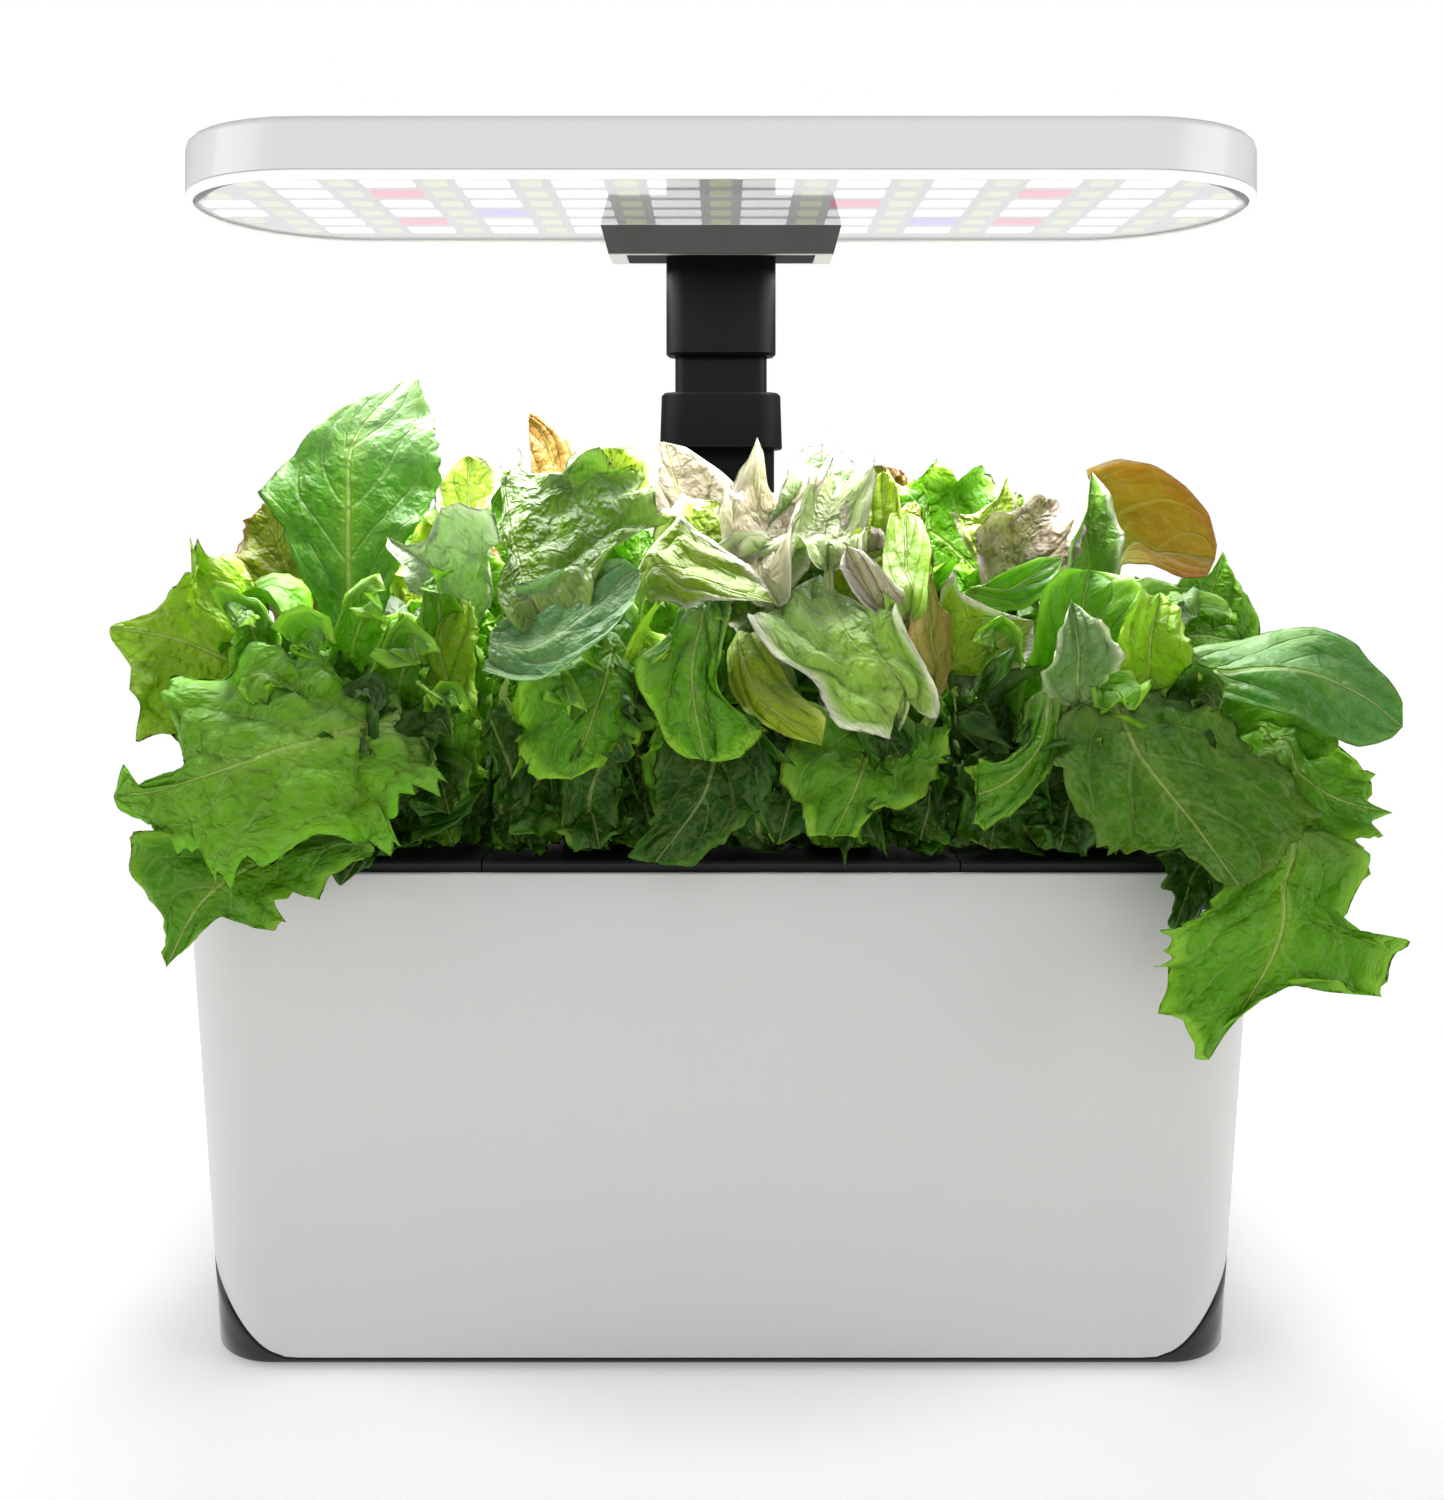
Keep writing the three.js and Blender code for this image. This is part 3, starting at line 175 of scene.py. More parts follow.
class Shade:
    """One material and its node tree."""

    def __init__(self, name):
        self.material = bpy.data.materials.new(name)
        self.material.use_nodes = True
        self.tree = self.material.node_tree
        self.tree.nodes.clear()

    def join(self, socket, item):
        """Links a value to a socket, or writes a number, a vector or a colour into it."""
        if isinstance(item, Value):
            self.tree.links.new(item.socket, socket)
        elif isinstance(item, tuple) and len(item) == 3 and len(socket.default_value) == 4:
            socket.default_value = item + (1,)
        else:
            socket.default_value = item

    def add(self, kind, settings=None, output=0, **inputs):
        """Any shader node: its settings, its inputs by name or number, and which output is wanted."""
        node = self.tree.nodes.new("ShaderNode" + kind)
        for key, item in (settings or {}).items():
            setattr(node, key, item)
        for key, item in inputs.items():
            place = int(key[1:]) if key[0] == "i" and key[1:].isdigit() else key.replace("_", " ")
            self.join(node.inputs[place], item)
        return Value(self, node.outputs[output])

    def mix(self, share, first, second):
        """Colour between first and second."""
        return self.add("Mix", dict(data_type="RGBA"), 2, i0=share, i6=first, i7=second)

    def noise(self, place, scale, detail=3.0, rough=0.5):
        """Soft noise between 0 and 1."""
        return self.add("TexNoise", Vector=place, Scale=scale, Detail=detail, Roughness=rough)

    def place(self):
        """Object coordinates, in metres."""
        return self.add("TexCoord", None, 3)

    def attribute(self, name, output=0):
        """Values that a mesh keeps at its points: output 0 as a colour, 1 as a vector."""
        return self.add("Attribute", dict(attribute_name=name), output)

    def bump(self, height, distance):
        """Normal tilted by a height pattern that is as deep as distance."""
        return self.add("Bump", Height=height, Distance=distance, Strength=1.0)

    def out(self, surface):
        """Ends the tree with its surface and gives the material."""
        node = self.tree.nodes.new("ShaderNodeOutputMaterial")
        self.tree.links.new(surface.socket, node.inputs["Surface"])
        return self.material


def plastic(name, colour, rough, coat=0.0, grain=0.02, drift=0.04, shine=0.5, glow=0.0):
    """Moulded plastic: a fine grain in the bump; colour and roughness drift a little over the piece."""
    shade = Shade(name)
    place = shade.place()
    slow = shade.noise(place, 9.0, 2.0)
    fine = shade.noise(place, 2000.0, 2.0)
    base = shade.mix(slow * drift, colour, tuple(part * 0.7 for part in colour))
    gloss = rough * (0.85 + slow * 0.3)
    bumped = shade.bump(fine, grain * metre)
    surface = shade.add("BsdfPrincipled", Base_Color=base, Roughness=gloss, Normal=bumped,
                        Coat_Weight=coat, Coat_Roughness=0.08, Specular_IOR_Level=shine, Emission_Color=base,
                        Emission_Strength=glow)
    return shade.out(surface)


def metal(name, colour, rough):
    """Brushed metal: streaks along X in the roughness and bump."""
    shade = Shade(name)
    stretched = shade.add("Mapping", Vector=shade.place(), Scale=(60, 2500, 2500))
    streak = shade.noise(stretched, 1.0, 2.0)
    surface = shade.add("BsdfPrincipled", Base_Color=colour, Metallic=1.0,
                        Roughness=rough * (0.7 + streak * 0.6), Normal=shade.bump(streak, 0.00002))
    return shade.out(surface)


def foam(name, colour):
    """Open foam: pale cell walls, with painted shade that darkens the pores between them."""
    shade = Shade(name)
    place = shade.place()
    pore = shade.add("TexVoronoi", dict(feature="DISTANCE_TO_EDGE"), 0, Vector=place, Scale=900.0)
    wall = 1.0 - pore.step(0.02, 0.3)
    # Painted shade: the pores are darkened to a quarter of the foam's colour
    base = shade.mix(wall, tuple(part * 0.25 for part in colour), colour)
    surface = shade.add("BsdfPrincipled", Base_Color=base, Roughness=0.95,
                        Normal=shade.bump(wall, 0.0006))
    return shade.out(surface)


def clear(name):
    """Clear glossy sheet."""
    shade = Shade(name)
    ripple = shade.noise(shade.place(), 30.0, 1.0)
    surface = shade.add("BsdfPrincipled", Base_Color=(0.98, 0.985, 0.985),
                        Roughness=0.02 + ripple * 0.03, Transmission_Weight=1.0, IOR=1.45)
    return shade.out(surface)


def board_finish(name):
    """White-coated circuit board, whose light bars glow in the colour kept in the attribute glow, and whose
    coating has a painted glow from the same attribute.
    """
    shade = Shade(name)
    speck = shade.noise(shade.place(), 220.0)
    glow = shade.attribute("glow")
    base = shade.mix(speck * 0.2, srgb(96, 96, 94), srgb(80, 80, 78))
    surface = shade.add("BsdfPrincipled", Base_Color=base, Roughness=0.5,
                        Emission_Color=glow, Emission_Strength=1.0)
    return shade.out(surface)


def leaf_finish(name):
    """Lettuce leaf with pale veins and a fine net between them, waxy faces and light through the blade.

    Blisters, midrib and veins are in the bump. Faces that look up and lie high on the plant have a painted
    highlight: a pale tint that stands in for the lamp's light from above.
    """
    shade = Shade(name)
    tint = shade.attribute("tint")
    relief = tint.twin(3)
    blade = shade.attribute("blade", 1)
    flat = shade.attribute("flat", 1)
    reach = shade.add("SeparateXYZ", Vector=blade)
    phase = reach.twin(1)
    along = reach.twin(2)
    sheet = shade.add("SeparateXYZ", Vector=flat).maths("ABSOLUTE")
    rib_width = 2.6 - along * 2.1
    rib = 1.0 - (sheet / rib_width).step(0.35, 1.0)
    fork = (phase.maths("FRACT") - 0.5).maths("ABSOLUTE")
    side = (1.0 - fork.step(0.0, 0.09)) * (1.0 - reach.step(0.6, 1.0) * 0.8)
    warp = shade.noise(flat, 0.12, 2.0)
    drift = shade.add("TexNoise", None, 1, Vector=flat, Scale=0.2)
    drift = shade.add("VectorMath", dict(operation="SCALE"), i0=drift, Scale=9.0)
    bent = shade.add("VectorMath", i0=flat, i1=drift)
    net = shade.add("TexVoronoi", dict(feature="DISTANCE_TO_EDGE"), 0, Vector=bent, Scale=0.17)
    swell = shade.add("TexVoronoi", dict(feature="SMOOTH_F1"), 0, Vector=bent, Scale=0.15, Smoothness=1.0)
    small = shade.add("TexVoronoi", dict(feature="SMOOTH_F1"), 0, Vector=bent, Scale=0.42, Smoothness=0.6)
    mesh = 1.0 - net.step(0.0, 0.2)
    cells = shade.noise(flat, 0.9, 4.0, 0.6)
    blotch = shade.noise(flat, 0.05, 2.0)
    veins = rib.maths("MAXIMUM", side * 0.5).maths("MAXIMUM", mesh * 0.22)
    sunny = shade.mix(blotch.step(0.5, 0.2) * 0.3, tint, shade.mix(0.4, tint, srgb(190, 215, 40)))
    dark = shade.mix(blotch.step(0.5, 0.8) * 0.45, sunny, shade.mix(0.55, tint, (0.0, 0.01, 0.0)))
    mottled = shade.mix(cells.step(0.4, 0.8) * 0.15, dark, shade.mix(0.25, tint, srgb(190, 220, 80)))
    pale = shade.mix(0.42, tint, srgb(216, 236, 140))
    colour = shade.mix(veins * 0.85, mottled, pale)
    height = (warp * 0.7 - swell * 1.5 - small * 0.3 + cells * 0.03) * relief - rib * 0.3 - side * 0.16
    bumped = shade.bump(height, 0.0022)
    # Painted highlight: faces that look up, high on the plant, pale towards white as if lit by the lamp
    painted_top_light = shade.add("SeparateXYZ", None, 2, Vector=bumped).step(0.25, 0.95)
    high = shade.add("SeparateXYZ", None, 2, Vector=shade.place()).step(0.19, 0.30)
    colour = shade.mix(painted_top_light * high * 0.46, colour, shade.mix(0.3, srgb(238, 242, 232), colour))
    gloss = 0.27 + cells * 0.16
    skin = shade.add("BsdfPrincipled", Base_Color=colour, Roughness=gloss, Normal=bumped,
                     Specular_IOR_Level=0.22)
    through = shade.add("BsdfTranslucent",
                        Color=shade.mix(0.4, colour, srgb(170, 225, 20)), Normal=bumped)
    surface = shade.add("MixShader", i0=0.34, i1=skin, i2=through)
    return shade.out(surface)


finishes = {
    "shell": plastic("shell satin", srgb(208, 206, 204), 0.38, coat=0.2, drift=0.02),
    "base": plastic("base gloss", srgb(8, 8, 9), 0.12, coat=0.3, shine=0.4),
    "tank": plastic("tank moulding", srgb(52, 53, 55), 0.55, grain=0.05),
    "rubber": plastic("foot rubber", srgb(30, 30, 30), 0.85, grain=0.08),
    "steel": metal("screw steel", srgb(200, 201, 203), 0.3),
    "circuit": plastic("solder mask", srgb(30, 96, 58), 0.35),
    "jack": plastic("jack moulding", srgb(22, 22, 22), 0.5),
    "deck": plastic("deck satin", srgb(32, 33, 33), 0.5, grain=0.04, shine=0.25),
    "basket": plastic("basket moulding", srgb(38, 38, 38), 0.5, grain=0.04),
    "sponge": foam("sponge foam", srgb(112, 80, 56)),
    "leaf": leaf_finish("lettuce leaf"),
    "pump": plastic("pump moulding", srgb(42, 44, 47), 0.5),
    "pipe": plastic("smoky pipe", srgb(130, 133, 136), 0.3),
    "bush": plastic("guide bush", srgb(228, 226, 220), 0.45),
    "float": plastic("orange float", srgb(214, 110, 40), 0.4),
    "post": plastic("post satin", srgb(5, 5, 5), 0.5, grain=0.03, shine=0.05),
    "lamp": plastic("lamp satin", srgb(229, 227, 225), 0.34, coat=0.25, drift=0.02),
    # The rim's glow is painted light: the white ring is no lamp, and its emission stands in for lamp light
    # through it
    "rim": plastic("rim white", srgb(250, 250, 249), 0.25, drift=0.01, glow=0.16),
    "lens": clear("lens clear"),
    "board": board_finish("led board"),
    "heat_plate": metal("heat plate", srgb(205, 207, 208), 0.35),
    "mount_face": plastic("mount satin", srgb(82, 82, 82), 0.42, grain=0.03),
}


# Surfaces

def make_piece(name, points, faces, node_names, slot, attributes=None):
    """A smooth-shaded mesh that stands for the CAD nodes named, on the body of the first of them."""
    mesh = bpy.data.meshes.new(name)
    mesh.from_pydata((np.asarray(points) * metre).tolist(), [], list(faces))
    mesh.polygons.foreach_set("use_smooth", [True] * len(mesh.polygons))
    for key, (kind, field, values) in (attributes or {}).items():
        layer = mesh.attributes.new(key, kind, "POINT")
        layer.data.foreach_set(field, np.asarray(values, np.float32).ravel())
    mesh.materials.append(finishes[slot])
    mesh.update()
    piece = bpy.data.objects.new(name, mesh)
    bpy.context.scene.collection.objects.link(piece)
    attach(piece, body_of_node[node_names[0]])
    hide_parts(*node_names)


def ring_faces(rings, columns, start=0, loop=False):
    """Quads between neighbouring closed rings of equal length."""
    row = np.arange(rings if loop else rings - 1)[:, None]
    column = np.arange(columns)[None, :]
    after = (column + 1) % columns
    above = (row + 1) % rings
    quads = np.stack([row * columns + column, row * columns + after, above * columns + after,
                      above * columns + column], -1)
    return (quads.reshape(-1, 4) + start).tolist()


def end_fans(rings, columns, start=0):
    """Triangles that close both ends of a stack of rings, each to its own one of the two points after it."""
    here = np.arange(columns)
    after = (here + 1) % columns
    tip = np.full(columns, start + rings * columns)
    last = start + (rings - 1) * columns
    first_end = np.stack([tip, start + after, start + here], 1)
    last_end = np.stack([tip + 1, last + here, last + after], 1)
    return np.concatenate([first_end, last_end]).tolist()


def loft(rings, loop=False, start=0):
    """Closed surface through rings of points, as one loop or with two ends, its points counted from start.

    Each end has a narrow flat band, then a fan to its middle.
    """
    rings = [np.asarray(ring, float) for ring in rings]
    if not loop:
        band = 0.97
        rings.insert(0, rings[0] * band + rings[0].mean(0) * (1 - band))
        rings.append(rings[-1] * band + rings[-1].mean(0) * (1 - band))
    columns = len(rings[0])
    points = np.concatenate(rings)
    faces = ring_faces(len(rings), columns, start, loop)
    if not loop:
        points = np.concatenate([points, [rings[0].mean(0)], [rings[-1].mean(0)]])
        faces += end_fans(len(rings), columns, start)
    return points, faces


def outline(arc, side):
    """Rounded rectangle from its front right corner: shares of the corner centres, and directions out."""
    turn = np.linspace(0, math.pi / 2, arc)
    shares, directions = [], []
    for quarter, corner in enumerate(((1, -1), (1, 1), (-1, 1), (-1, -1))):
        angle = turn + (quarter - 1) * math.pi / 2
        shares.append(np.tile(np.array(corner, float), (arc, 1)))
        directions.append(np.stack([np.cos(angle), np.sin(angle)], 1))
        following = np.array(((1, 1), (-1, 1), (-1, -1), (1, -1))[quarter], float)
        between = np.linspace(0, 1, side + 2)[1:-1, None]
        shares.append(np.array(corner, float) * (1 - between) + following * between)
        directions.append(np.tile(directions[-1][-1], (side, 1)))
    return np.concatenate(shares), np.concatenate(directions)


def ring_at(shape, half_x, half_y, corner, height, inset=0.0, centre=(0.0, 0.0)):
    """Ring of a rounded rectangle; every size may differ from point to point."""
    shares, directions = shape
    x = shares[:, 0] * (half_x - corner) + directions[:, 0] * (corner - inset) + centre[0]
    y = shares[:, 1] * (half_y - corner) + directions[:, 1] * (corner - inset) + centre[1]
    return np.stack([x, y, np.broadcast_to(height, x.shape).astype(float)], 1)


# Tank shell and base

tank_shape = outline(20, 60)

# Half length, half depth and corner radius at the tank's foot and at its rim
tank_foot = (178.0, 57.0, 24.0)
tank_rim = (188.0, 65.0, 28.0)
foot_height = 2.0


def tank_ring(height, inset):
    """Ring of the tank's tapering outside at a height that may differ from point to point."""
    share = (np.asarray(height, float) - foot_height) / (rim_height - foot_height)
    half_x, half_y, corner = (foot + (rim - foot) * share for foot, rim in zip(tank_foot, tank_rim))
    return ring_at(tank_shape, half_x, half_y, corner, height, inset)


def cubic(share, first, second, third, last):
    """Cubic Bezier curve from first to last, drawn towards the two values between them."""
    rest = 1 - share
    return (rest ** 3 * first + 3 * rest ** 2 * share * second + 3 * rest * share ** 2 * third
            + share ** 3 * last)


def arch_height():
    """Height of the shell's lower edge: level in front, then sweeping up round each corner."""
    sweep = np.linspace(0, 1, 60)
    over_x = cubic(sweep, 146, 157, 168, 186)
    over_z = cubic(sweep, 4.2, 4.2, 17, 46)
    height = np.full(len(tank_shape[0]), 20.0)
    for _ in range(12):
        across = np.abs(tank_ring(height, 0)[:, 0])
        height = np.interp(across, over_x, over_z)
    return height


edge = arch_height()


def make_shell():
    """Wall between the tapering outside and its inward offset, with rounded rim and lower edge."""
    wall = 2.4
    rounding = 0.8
    shoulder = rim_height - rounding
    rings = [tank_ring(edge, 0.5), tank_ring(edge + 0.15, 0.15), tank_ring(edge + 0.5, 0.0)]
    for share in np.linspace(0, 1, 14)[1:]:
        rings.append(tank_ring((edge + 0.5) * (1 - share) + shoulder * share, 0.0))
    rounds = [(degrees, 1, 0) for degrees in (30, 60, 90)]
    rounds += [(degrees, -1, wall) for degrees in (90, 45, 0)]
    for degrees, way, start in rounds:
        angle = math.radians(degrees)
        height = np.full(len(edge), shoulder + rounding * math.sin(angle))
        rings.append(tank_ring(height, start + way * rounding * (1 - math.cos(angle))))
    for share in np.linspace(0, 1, 6)[1:]:
        rings.append(tank_ring(shoulder * (1 - share) + edge * share, wall))
    points, faces = loft(rings, loop=True)
    make_piece("shell_skin", points, faces, ["outer_shell"], "shell")


def make_base():
    """Dished base: flush with the shell, chamfered at the bottom, with a tongue behind the shell's edge."""
    top = edge - 0.3
    flat = np.full(len(edge), foot_height)
    side = np.minimum(flat + 1.2, top - 0.2)
    rings = [tank_ring(flat, 20.0), tank_ring(flat, 1.4), tank_ring(flat + 0.2, 0.9),
             tank_ring(flat + 0.7, 0.3), tank_ring(side, 0.0)]
    for share in (0.33, 0.66, 1.0):
        rings.append(tank_ring(side * (1 - share) + (top - 0.15) * share, 0.0))
    rings += [tank_ring(top, 0.3), tank_ring(top, 2.6), tank_ring(top + 4.0, 2.7), tank_ring(top + 4.0, 4.2),
              tank_ring(flat + 2.0, 4.2)]
    points, faces = loft(rings)
    make_piece("base_skin", points, faces, ["base_shell"], "base")


make_shell()
make_base()


# Leaves

random_all = np.random.default_rng(42)

# Each leaf keeps inside its plot: least x, greatest x, least y, greatest y
seams = (80.25, 81.75)
centre_edge, side_edge = seams
plots = {
    "left_front": (-250, -side_edge, -100, 60),
    "left_rear": (-250, -side_edge, -60, 100),
    "centre_left": (-centre_edge, 20, -100, 18),
    "centre_right": (-20, centre_edge, -100, 18),
    "right_front": (side_edge, 250, -100, 60),
    "right_rear": (side_edge, 250, -60, 100),
}
pods = {
    "left_front": (-134.5, -27),
    "left_rear": (-134.5, 27),
    "centre_left": (-40.5, -22),
    "centre_right": (40.5, -22),
    "right_front": (134.5, -27),
    "right_rear": (134.5, 27),
}
stalk_colour = srgb(196, 214, 140)
# Near white that leaf blades fade to towards the tip: painted glare that stands in for the lamp's light
painted_glare_colour = srgb(232, 234, 224)
far_off = 1000.0
grown = {name: [] for name in plots}


def seen(column, row, y):
    """Place in space of a point of the picture at depth y, through the camera's own projection."""
    reach = (camera_reach + y) / focal_pixels
    x = (column - middle_column) * reach
    return np.stack([x, y + 0 * reach, camera_height - (row - horizon_row) * reach], -1)


def hermite(part, first, second, from_slope, to_slope):
    """Cubic from first to second that leaves and arrives with the given slopes."""
    square, cube = part ** 2, part ** 3
    return ((2 * cube - 3 * square + 1) * first + (cube - 2 * square + part) * from_slope
            + (3 * square - 2 * cube) * second + (cube - square) * to_slope)


def curve(points, share):
    """Smooth curve through control points, with the slope at each taken from its neighbours."""
    points = np.asarray(points, float)
    place = np.clip(share, 0, 1) * (len(points) - 1)
    low = np.clip(place.astype(int), 0, len(points) - 2)
    slope = np.gradient(points, axis=0)
    return hermite((place - low)[:, None], points[low], points[low + 1], slope[low], slope[low + 1])


def along_margin(points, share):
    """Curve through margin points, evenly paced by length, whose corners stay fairly pointed."""
    points = np.asarray(points, float)
    pace = np.concatenate([[0], np.cumsum(np.linalg.norm(np.diff(points, axis=0), axis=1))])
    place = share * pace[-1]
    low = np.clip(np.searchsorted(pace, place, side="right") - 1, 0, len(points) - 2)
    part = ((place - pace[low]) / (pace[low + 1] - pace[low] + tiny))[:, None]
    slope = 0.5 * np.gradient(points, axis=0)
    straight = points[low] * (1 - part) + points[low + 1] * part
    bent = hermite(part, points[low], points[low + 1], slope[low], slope[low + 1])
    return 0.35 * straight + 0.65 * bent


# Kinds of leaf: outline first, then teeth and lobes, ruffles and blisters, veins, bend, rib and relief
kind_sizes = ("peak", "blunt", "foot", "teeth", "teeth_count", "lobes", "lobe_count",
              "ruffle", "waves", "pucker", "veins", "lean", "curl", "rib", "relief")
kinds = {
    "romaine": (0.62, 0.62, 0.16, 0.06, 24, 0.03, 4, 4.0, 5, 2.2, 9, 2.4, 0.55, 3.0, 0.45),
    "frill": (0.62, 0.45, 0.12, 0.12, 24, 0.30, 6, 9.0, 6, 3.6, 8, 2.0, 0.5, 2.2, 0.9),
    "butter": (0.6, 0.5, 0.15, 0.02, 20, 0.07, 4, 5.0, 4, 3.4, 7, 2.0, 0.7, 2.2, 0.75),
    "lollo": (0.68, 0.36, 0.14, 0.10, 20, 0.22, 6, 14.0, 7, 4.4, 7, 1.6, 0.9, 2.0, 1.4),
    "smooth": (0.6, 0.55, 0.12, 0.006, 16, 0.03, 3, 2.8, 3, 1.6, 8, 2.2, 0.6, 2.2, 0.3),
}
kinds = {name: dict(zip(kind_sizes, row)) for name, row in kinds.items()}

# Colours of a leaf's heart, blade and margin
greens = {
    "bright": ((170, 208, 50), (88, 158, 8), (144, 204, 44)),
    "light": ((214, 226, 90), (158, 206, 30), (166, 208, 50)),
    "deep": ((156, 200, 50), (100, 170, 18), (152, 208, 48)),
    "sage": ((140, 184, 50), (70, 122, 18), (208, 216, 176)),
    "tuft": ((180, 204, 50), (98, 144, 22), (150, 186, 80)),
    "soft": ((178, 216, 80), (120, 186, 30), (132, 212, 40)),
    "cream": ((180, 214, 40), (150, 200, 40), (248, 240, 226)),
    # dark: a deep green, darkened further as painted shade for the low leaves near the deck
    "dark": ((70, 118, 24), (30, 82, 4), (56, 116, 12)),
    "plain": ((140, 196, 90), (62, 140, 30), (88, 158, 44)),
    "peach": ((196, 206, 90), (206, 186, 96), (206, 150, 100)),
    "blue": ((130, 190, 90), (56, 134, 44), (120, 180, 100)),
    "yellow": ((206, 216, 90), (164, 192, 30), (208, 220, 90)),
    "pale": ((200, 216, 100), (158, 182, 62), (244, 234, 214)),
    "frost": ((186, 212, 110), (120, 172, 60), (224, 228, 206)),
    "bronze": ((196, 204, 70), (150, 158, 34), (156, 112, 40)),
    "orange": ((206, 180, 50), (190, 134, 22), (186, 110, 26)),
    "purple": ((206, 206, 150), (170, 146, 134), (208, 182, 182)),
    "redgreen": ((140, 170, 40), (76, 136, 10), (96, 140, 26)),
    "cos": ((170, 206, 60), (78, 148, 26), (96, 164, 40)),
    "rimmed": ((176, 190, 50), (146, 168, 36), (240, 240, 226)),
    "rolled": ((180, 200, 50), (142, 170, 34), (212, 206, 190)),
    "lilac": ((206, 200, 140), (196, 176, 164), (238, 222, 222)),
    "tan": ((196, 180, 100), (188, 132, 76), (214, 166, 120)),
    "ember": ((176, 160, 60), (160, 116, 46), (126, 60, 34)),
}
greens = {name: [srgb(*colour) for colour in row] for name, row in greens.items()}


def directions(spine, share, facing, roll):
    """Unit vectors forward along the midrib, up out of the leaf's face and out across it.

    The roll in degrees, at the foot and at the tip, turns the face about the midrib.
    """
    forward = np.gradient(spine, axis=0)
    forward /= np.linalg.norm(forward, axis=1)[:, None]
    facing = np.asarray(facing, float)
    up = facing - forward * (forward @ facing)[:, None]
    up /= np.linalg.norm(up, axis=1)[:, None] + tiny
    turn = np.radians(roll[0] + (roll[1] - roll[0]) * share)[:, None]
    up = up * np.cos(turn) + np.cross(forward, up) * np.sin(turn)
    for _ in range(6):
        up[1:-1] = (up[:-2] + up[1:-1] + up[2:]) / 3
    up /= np.linalg.norm(up, axis=1)[:, None]
    return forward, up, np.cross(forward, up)


def margin_waves(shape, share, random):
    """Seeded waves along each margin: scallop with teeth and lobes, two ruffles, and phase of side veins."""
    sides = []
    for _ in range(2):
        saw = (share * shape["teeth_count"] * (1 + 0.1 * wobble(share, random, 2)) + random.random()) % 1
        tooth = np.where(saw < 0.7, saw / 0.7, (1 - saw) / 0.3) ** 1.3
        teeth = shape["teeth"] * (tooth - 0.5) * (1 + 0.5 * wobble(share, random, 6))
        wave = (share * shape["lobe_count"] * (1 + 0.15 * wobble(share, random, 1.5)) + random.random()) % 1
        point = np.where(wave < 0.6, wave / 0.6, (1 - wave) / 0.4) ** 1.5
        lobe = shape["lobes"] * (point - 0.45) * (1 + 0.6 * wobble(share, random, 2.5))
        ruffle = wobble(share, random, shape["waves"], 2)
        fine_ruffle = wobble(share, random, shape["waves"] * 2.6, 2)
        phase = shape["veins"] * share + 0.12 * wobble(share, random, 3) + random.random()
        sides.append((1 + teeth + lobe, ruffle, fine_ruffle, phase))
    return zip(*sides)


def squeeze(values, low, high, softness=2.5):
    """Holds values between low and high, bending them over a short distance before each limit."""
    over = np.maximum(values - (high - softness), 0)
    values = np.where(over > 0, high - softness + softness * (1 - np.exp(-over / softness)), values)
    under = np.maximum(low + softness - values, 0)
    return np.where(under > 0, low + softness - softness * (1 - np.exp(-under / softness)), values)


def lowest(x, y):
    """Height that a leaf stays above: the deck over the tank, and well above the floor outside it."""
    over_deck = 177.6
    over_floor = 60.0
    inside = np.minimum(tank_rim[0] + 2 - np.abs(x), tank_rim[1] + 2 - np.abs(y))
    return np.where(inside > 0, over_deck + 0.5 * np.sin(inside), over_floor)


def keep_in_plot(points, plot):
    """Holds points over their own deck panel; beside a seam the limit is a wavy upright wall inside it."""
    low_x, high_x, low_y, high_y = plots[plot]
    y = squeeze(points[..., 1], low_y, high_y)
    inward = 4.5 + 2.7 * np.sin(y / 6.3) + 1.8 * np.sin(y / 2.7 + 1.0)
    low_bank = -inward * np.sign(low_x) if abs(low_x) in seams else 0.0
    high_bank = -inward * np.sign(high_x) if abs(high_x) in seams else 0.0
    x = squeeze(points[..., 0] - low_bank, low_x, far_off) + low_bank
    x = squeeze(x - high_bank, -far_off, high_x) + high_bank
    return np.stack([x, y, np.maximum(points[..., 2], lowest(x, y))], -1)


def blade_tint(shape, green, outward, share, stalk, random):
    """Colours of heart, blade and margin mixed across the blade, a pale stalk, and a painted highlight that
    pales the blade towards the tip.

    The fourth value is the height of the leaf's blisters.
    """
    heart, main, margin = (np.array(colour) for colour in greens[green])
    inner = 0.6 * smooth(0.5, 0.0, outward + 0.35 * share)[:, :, None]
    outer = smooth(0.74, 1.0, outward + 0.2 * smooth(0.8, 1, share))[:, :, None]
    tint = main * (1 - outer) + margin * outer
    tint = tint * (1 - inner) + heart * inner
    stem = smooth(stalk + 0.15, stalk - 0.1, share)[:, :, None]
    tint = tint * (1 - stem) + np.array(stalk_colour) * stem
    tint = tint * (1 + 0.12 * random.uniform(-1, 1))
    # Painted highlight: the blade pales towards its tip as if washed out by the lamp above
    glare_share = shape.get("wash", 0) * smooth(shape.get("wash_from", 0.45), 1.0, share)[:, :, None]
    tint = tint * (1 - glare_share) + np.array(painted_glare_colour) * glare_share
    return np.concatenate([np.clip(tint, 0, 1), np.full(tint.shape[:2] + (1,), shape["relief"])], axis=2)


def wrapped(values):
    """Values on a leaf's front, followed by the same on its back in the opposite order."""
    return np.concatenate([values, values[:, -2:0:-1]], axis=1)


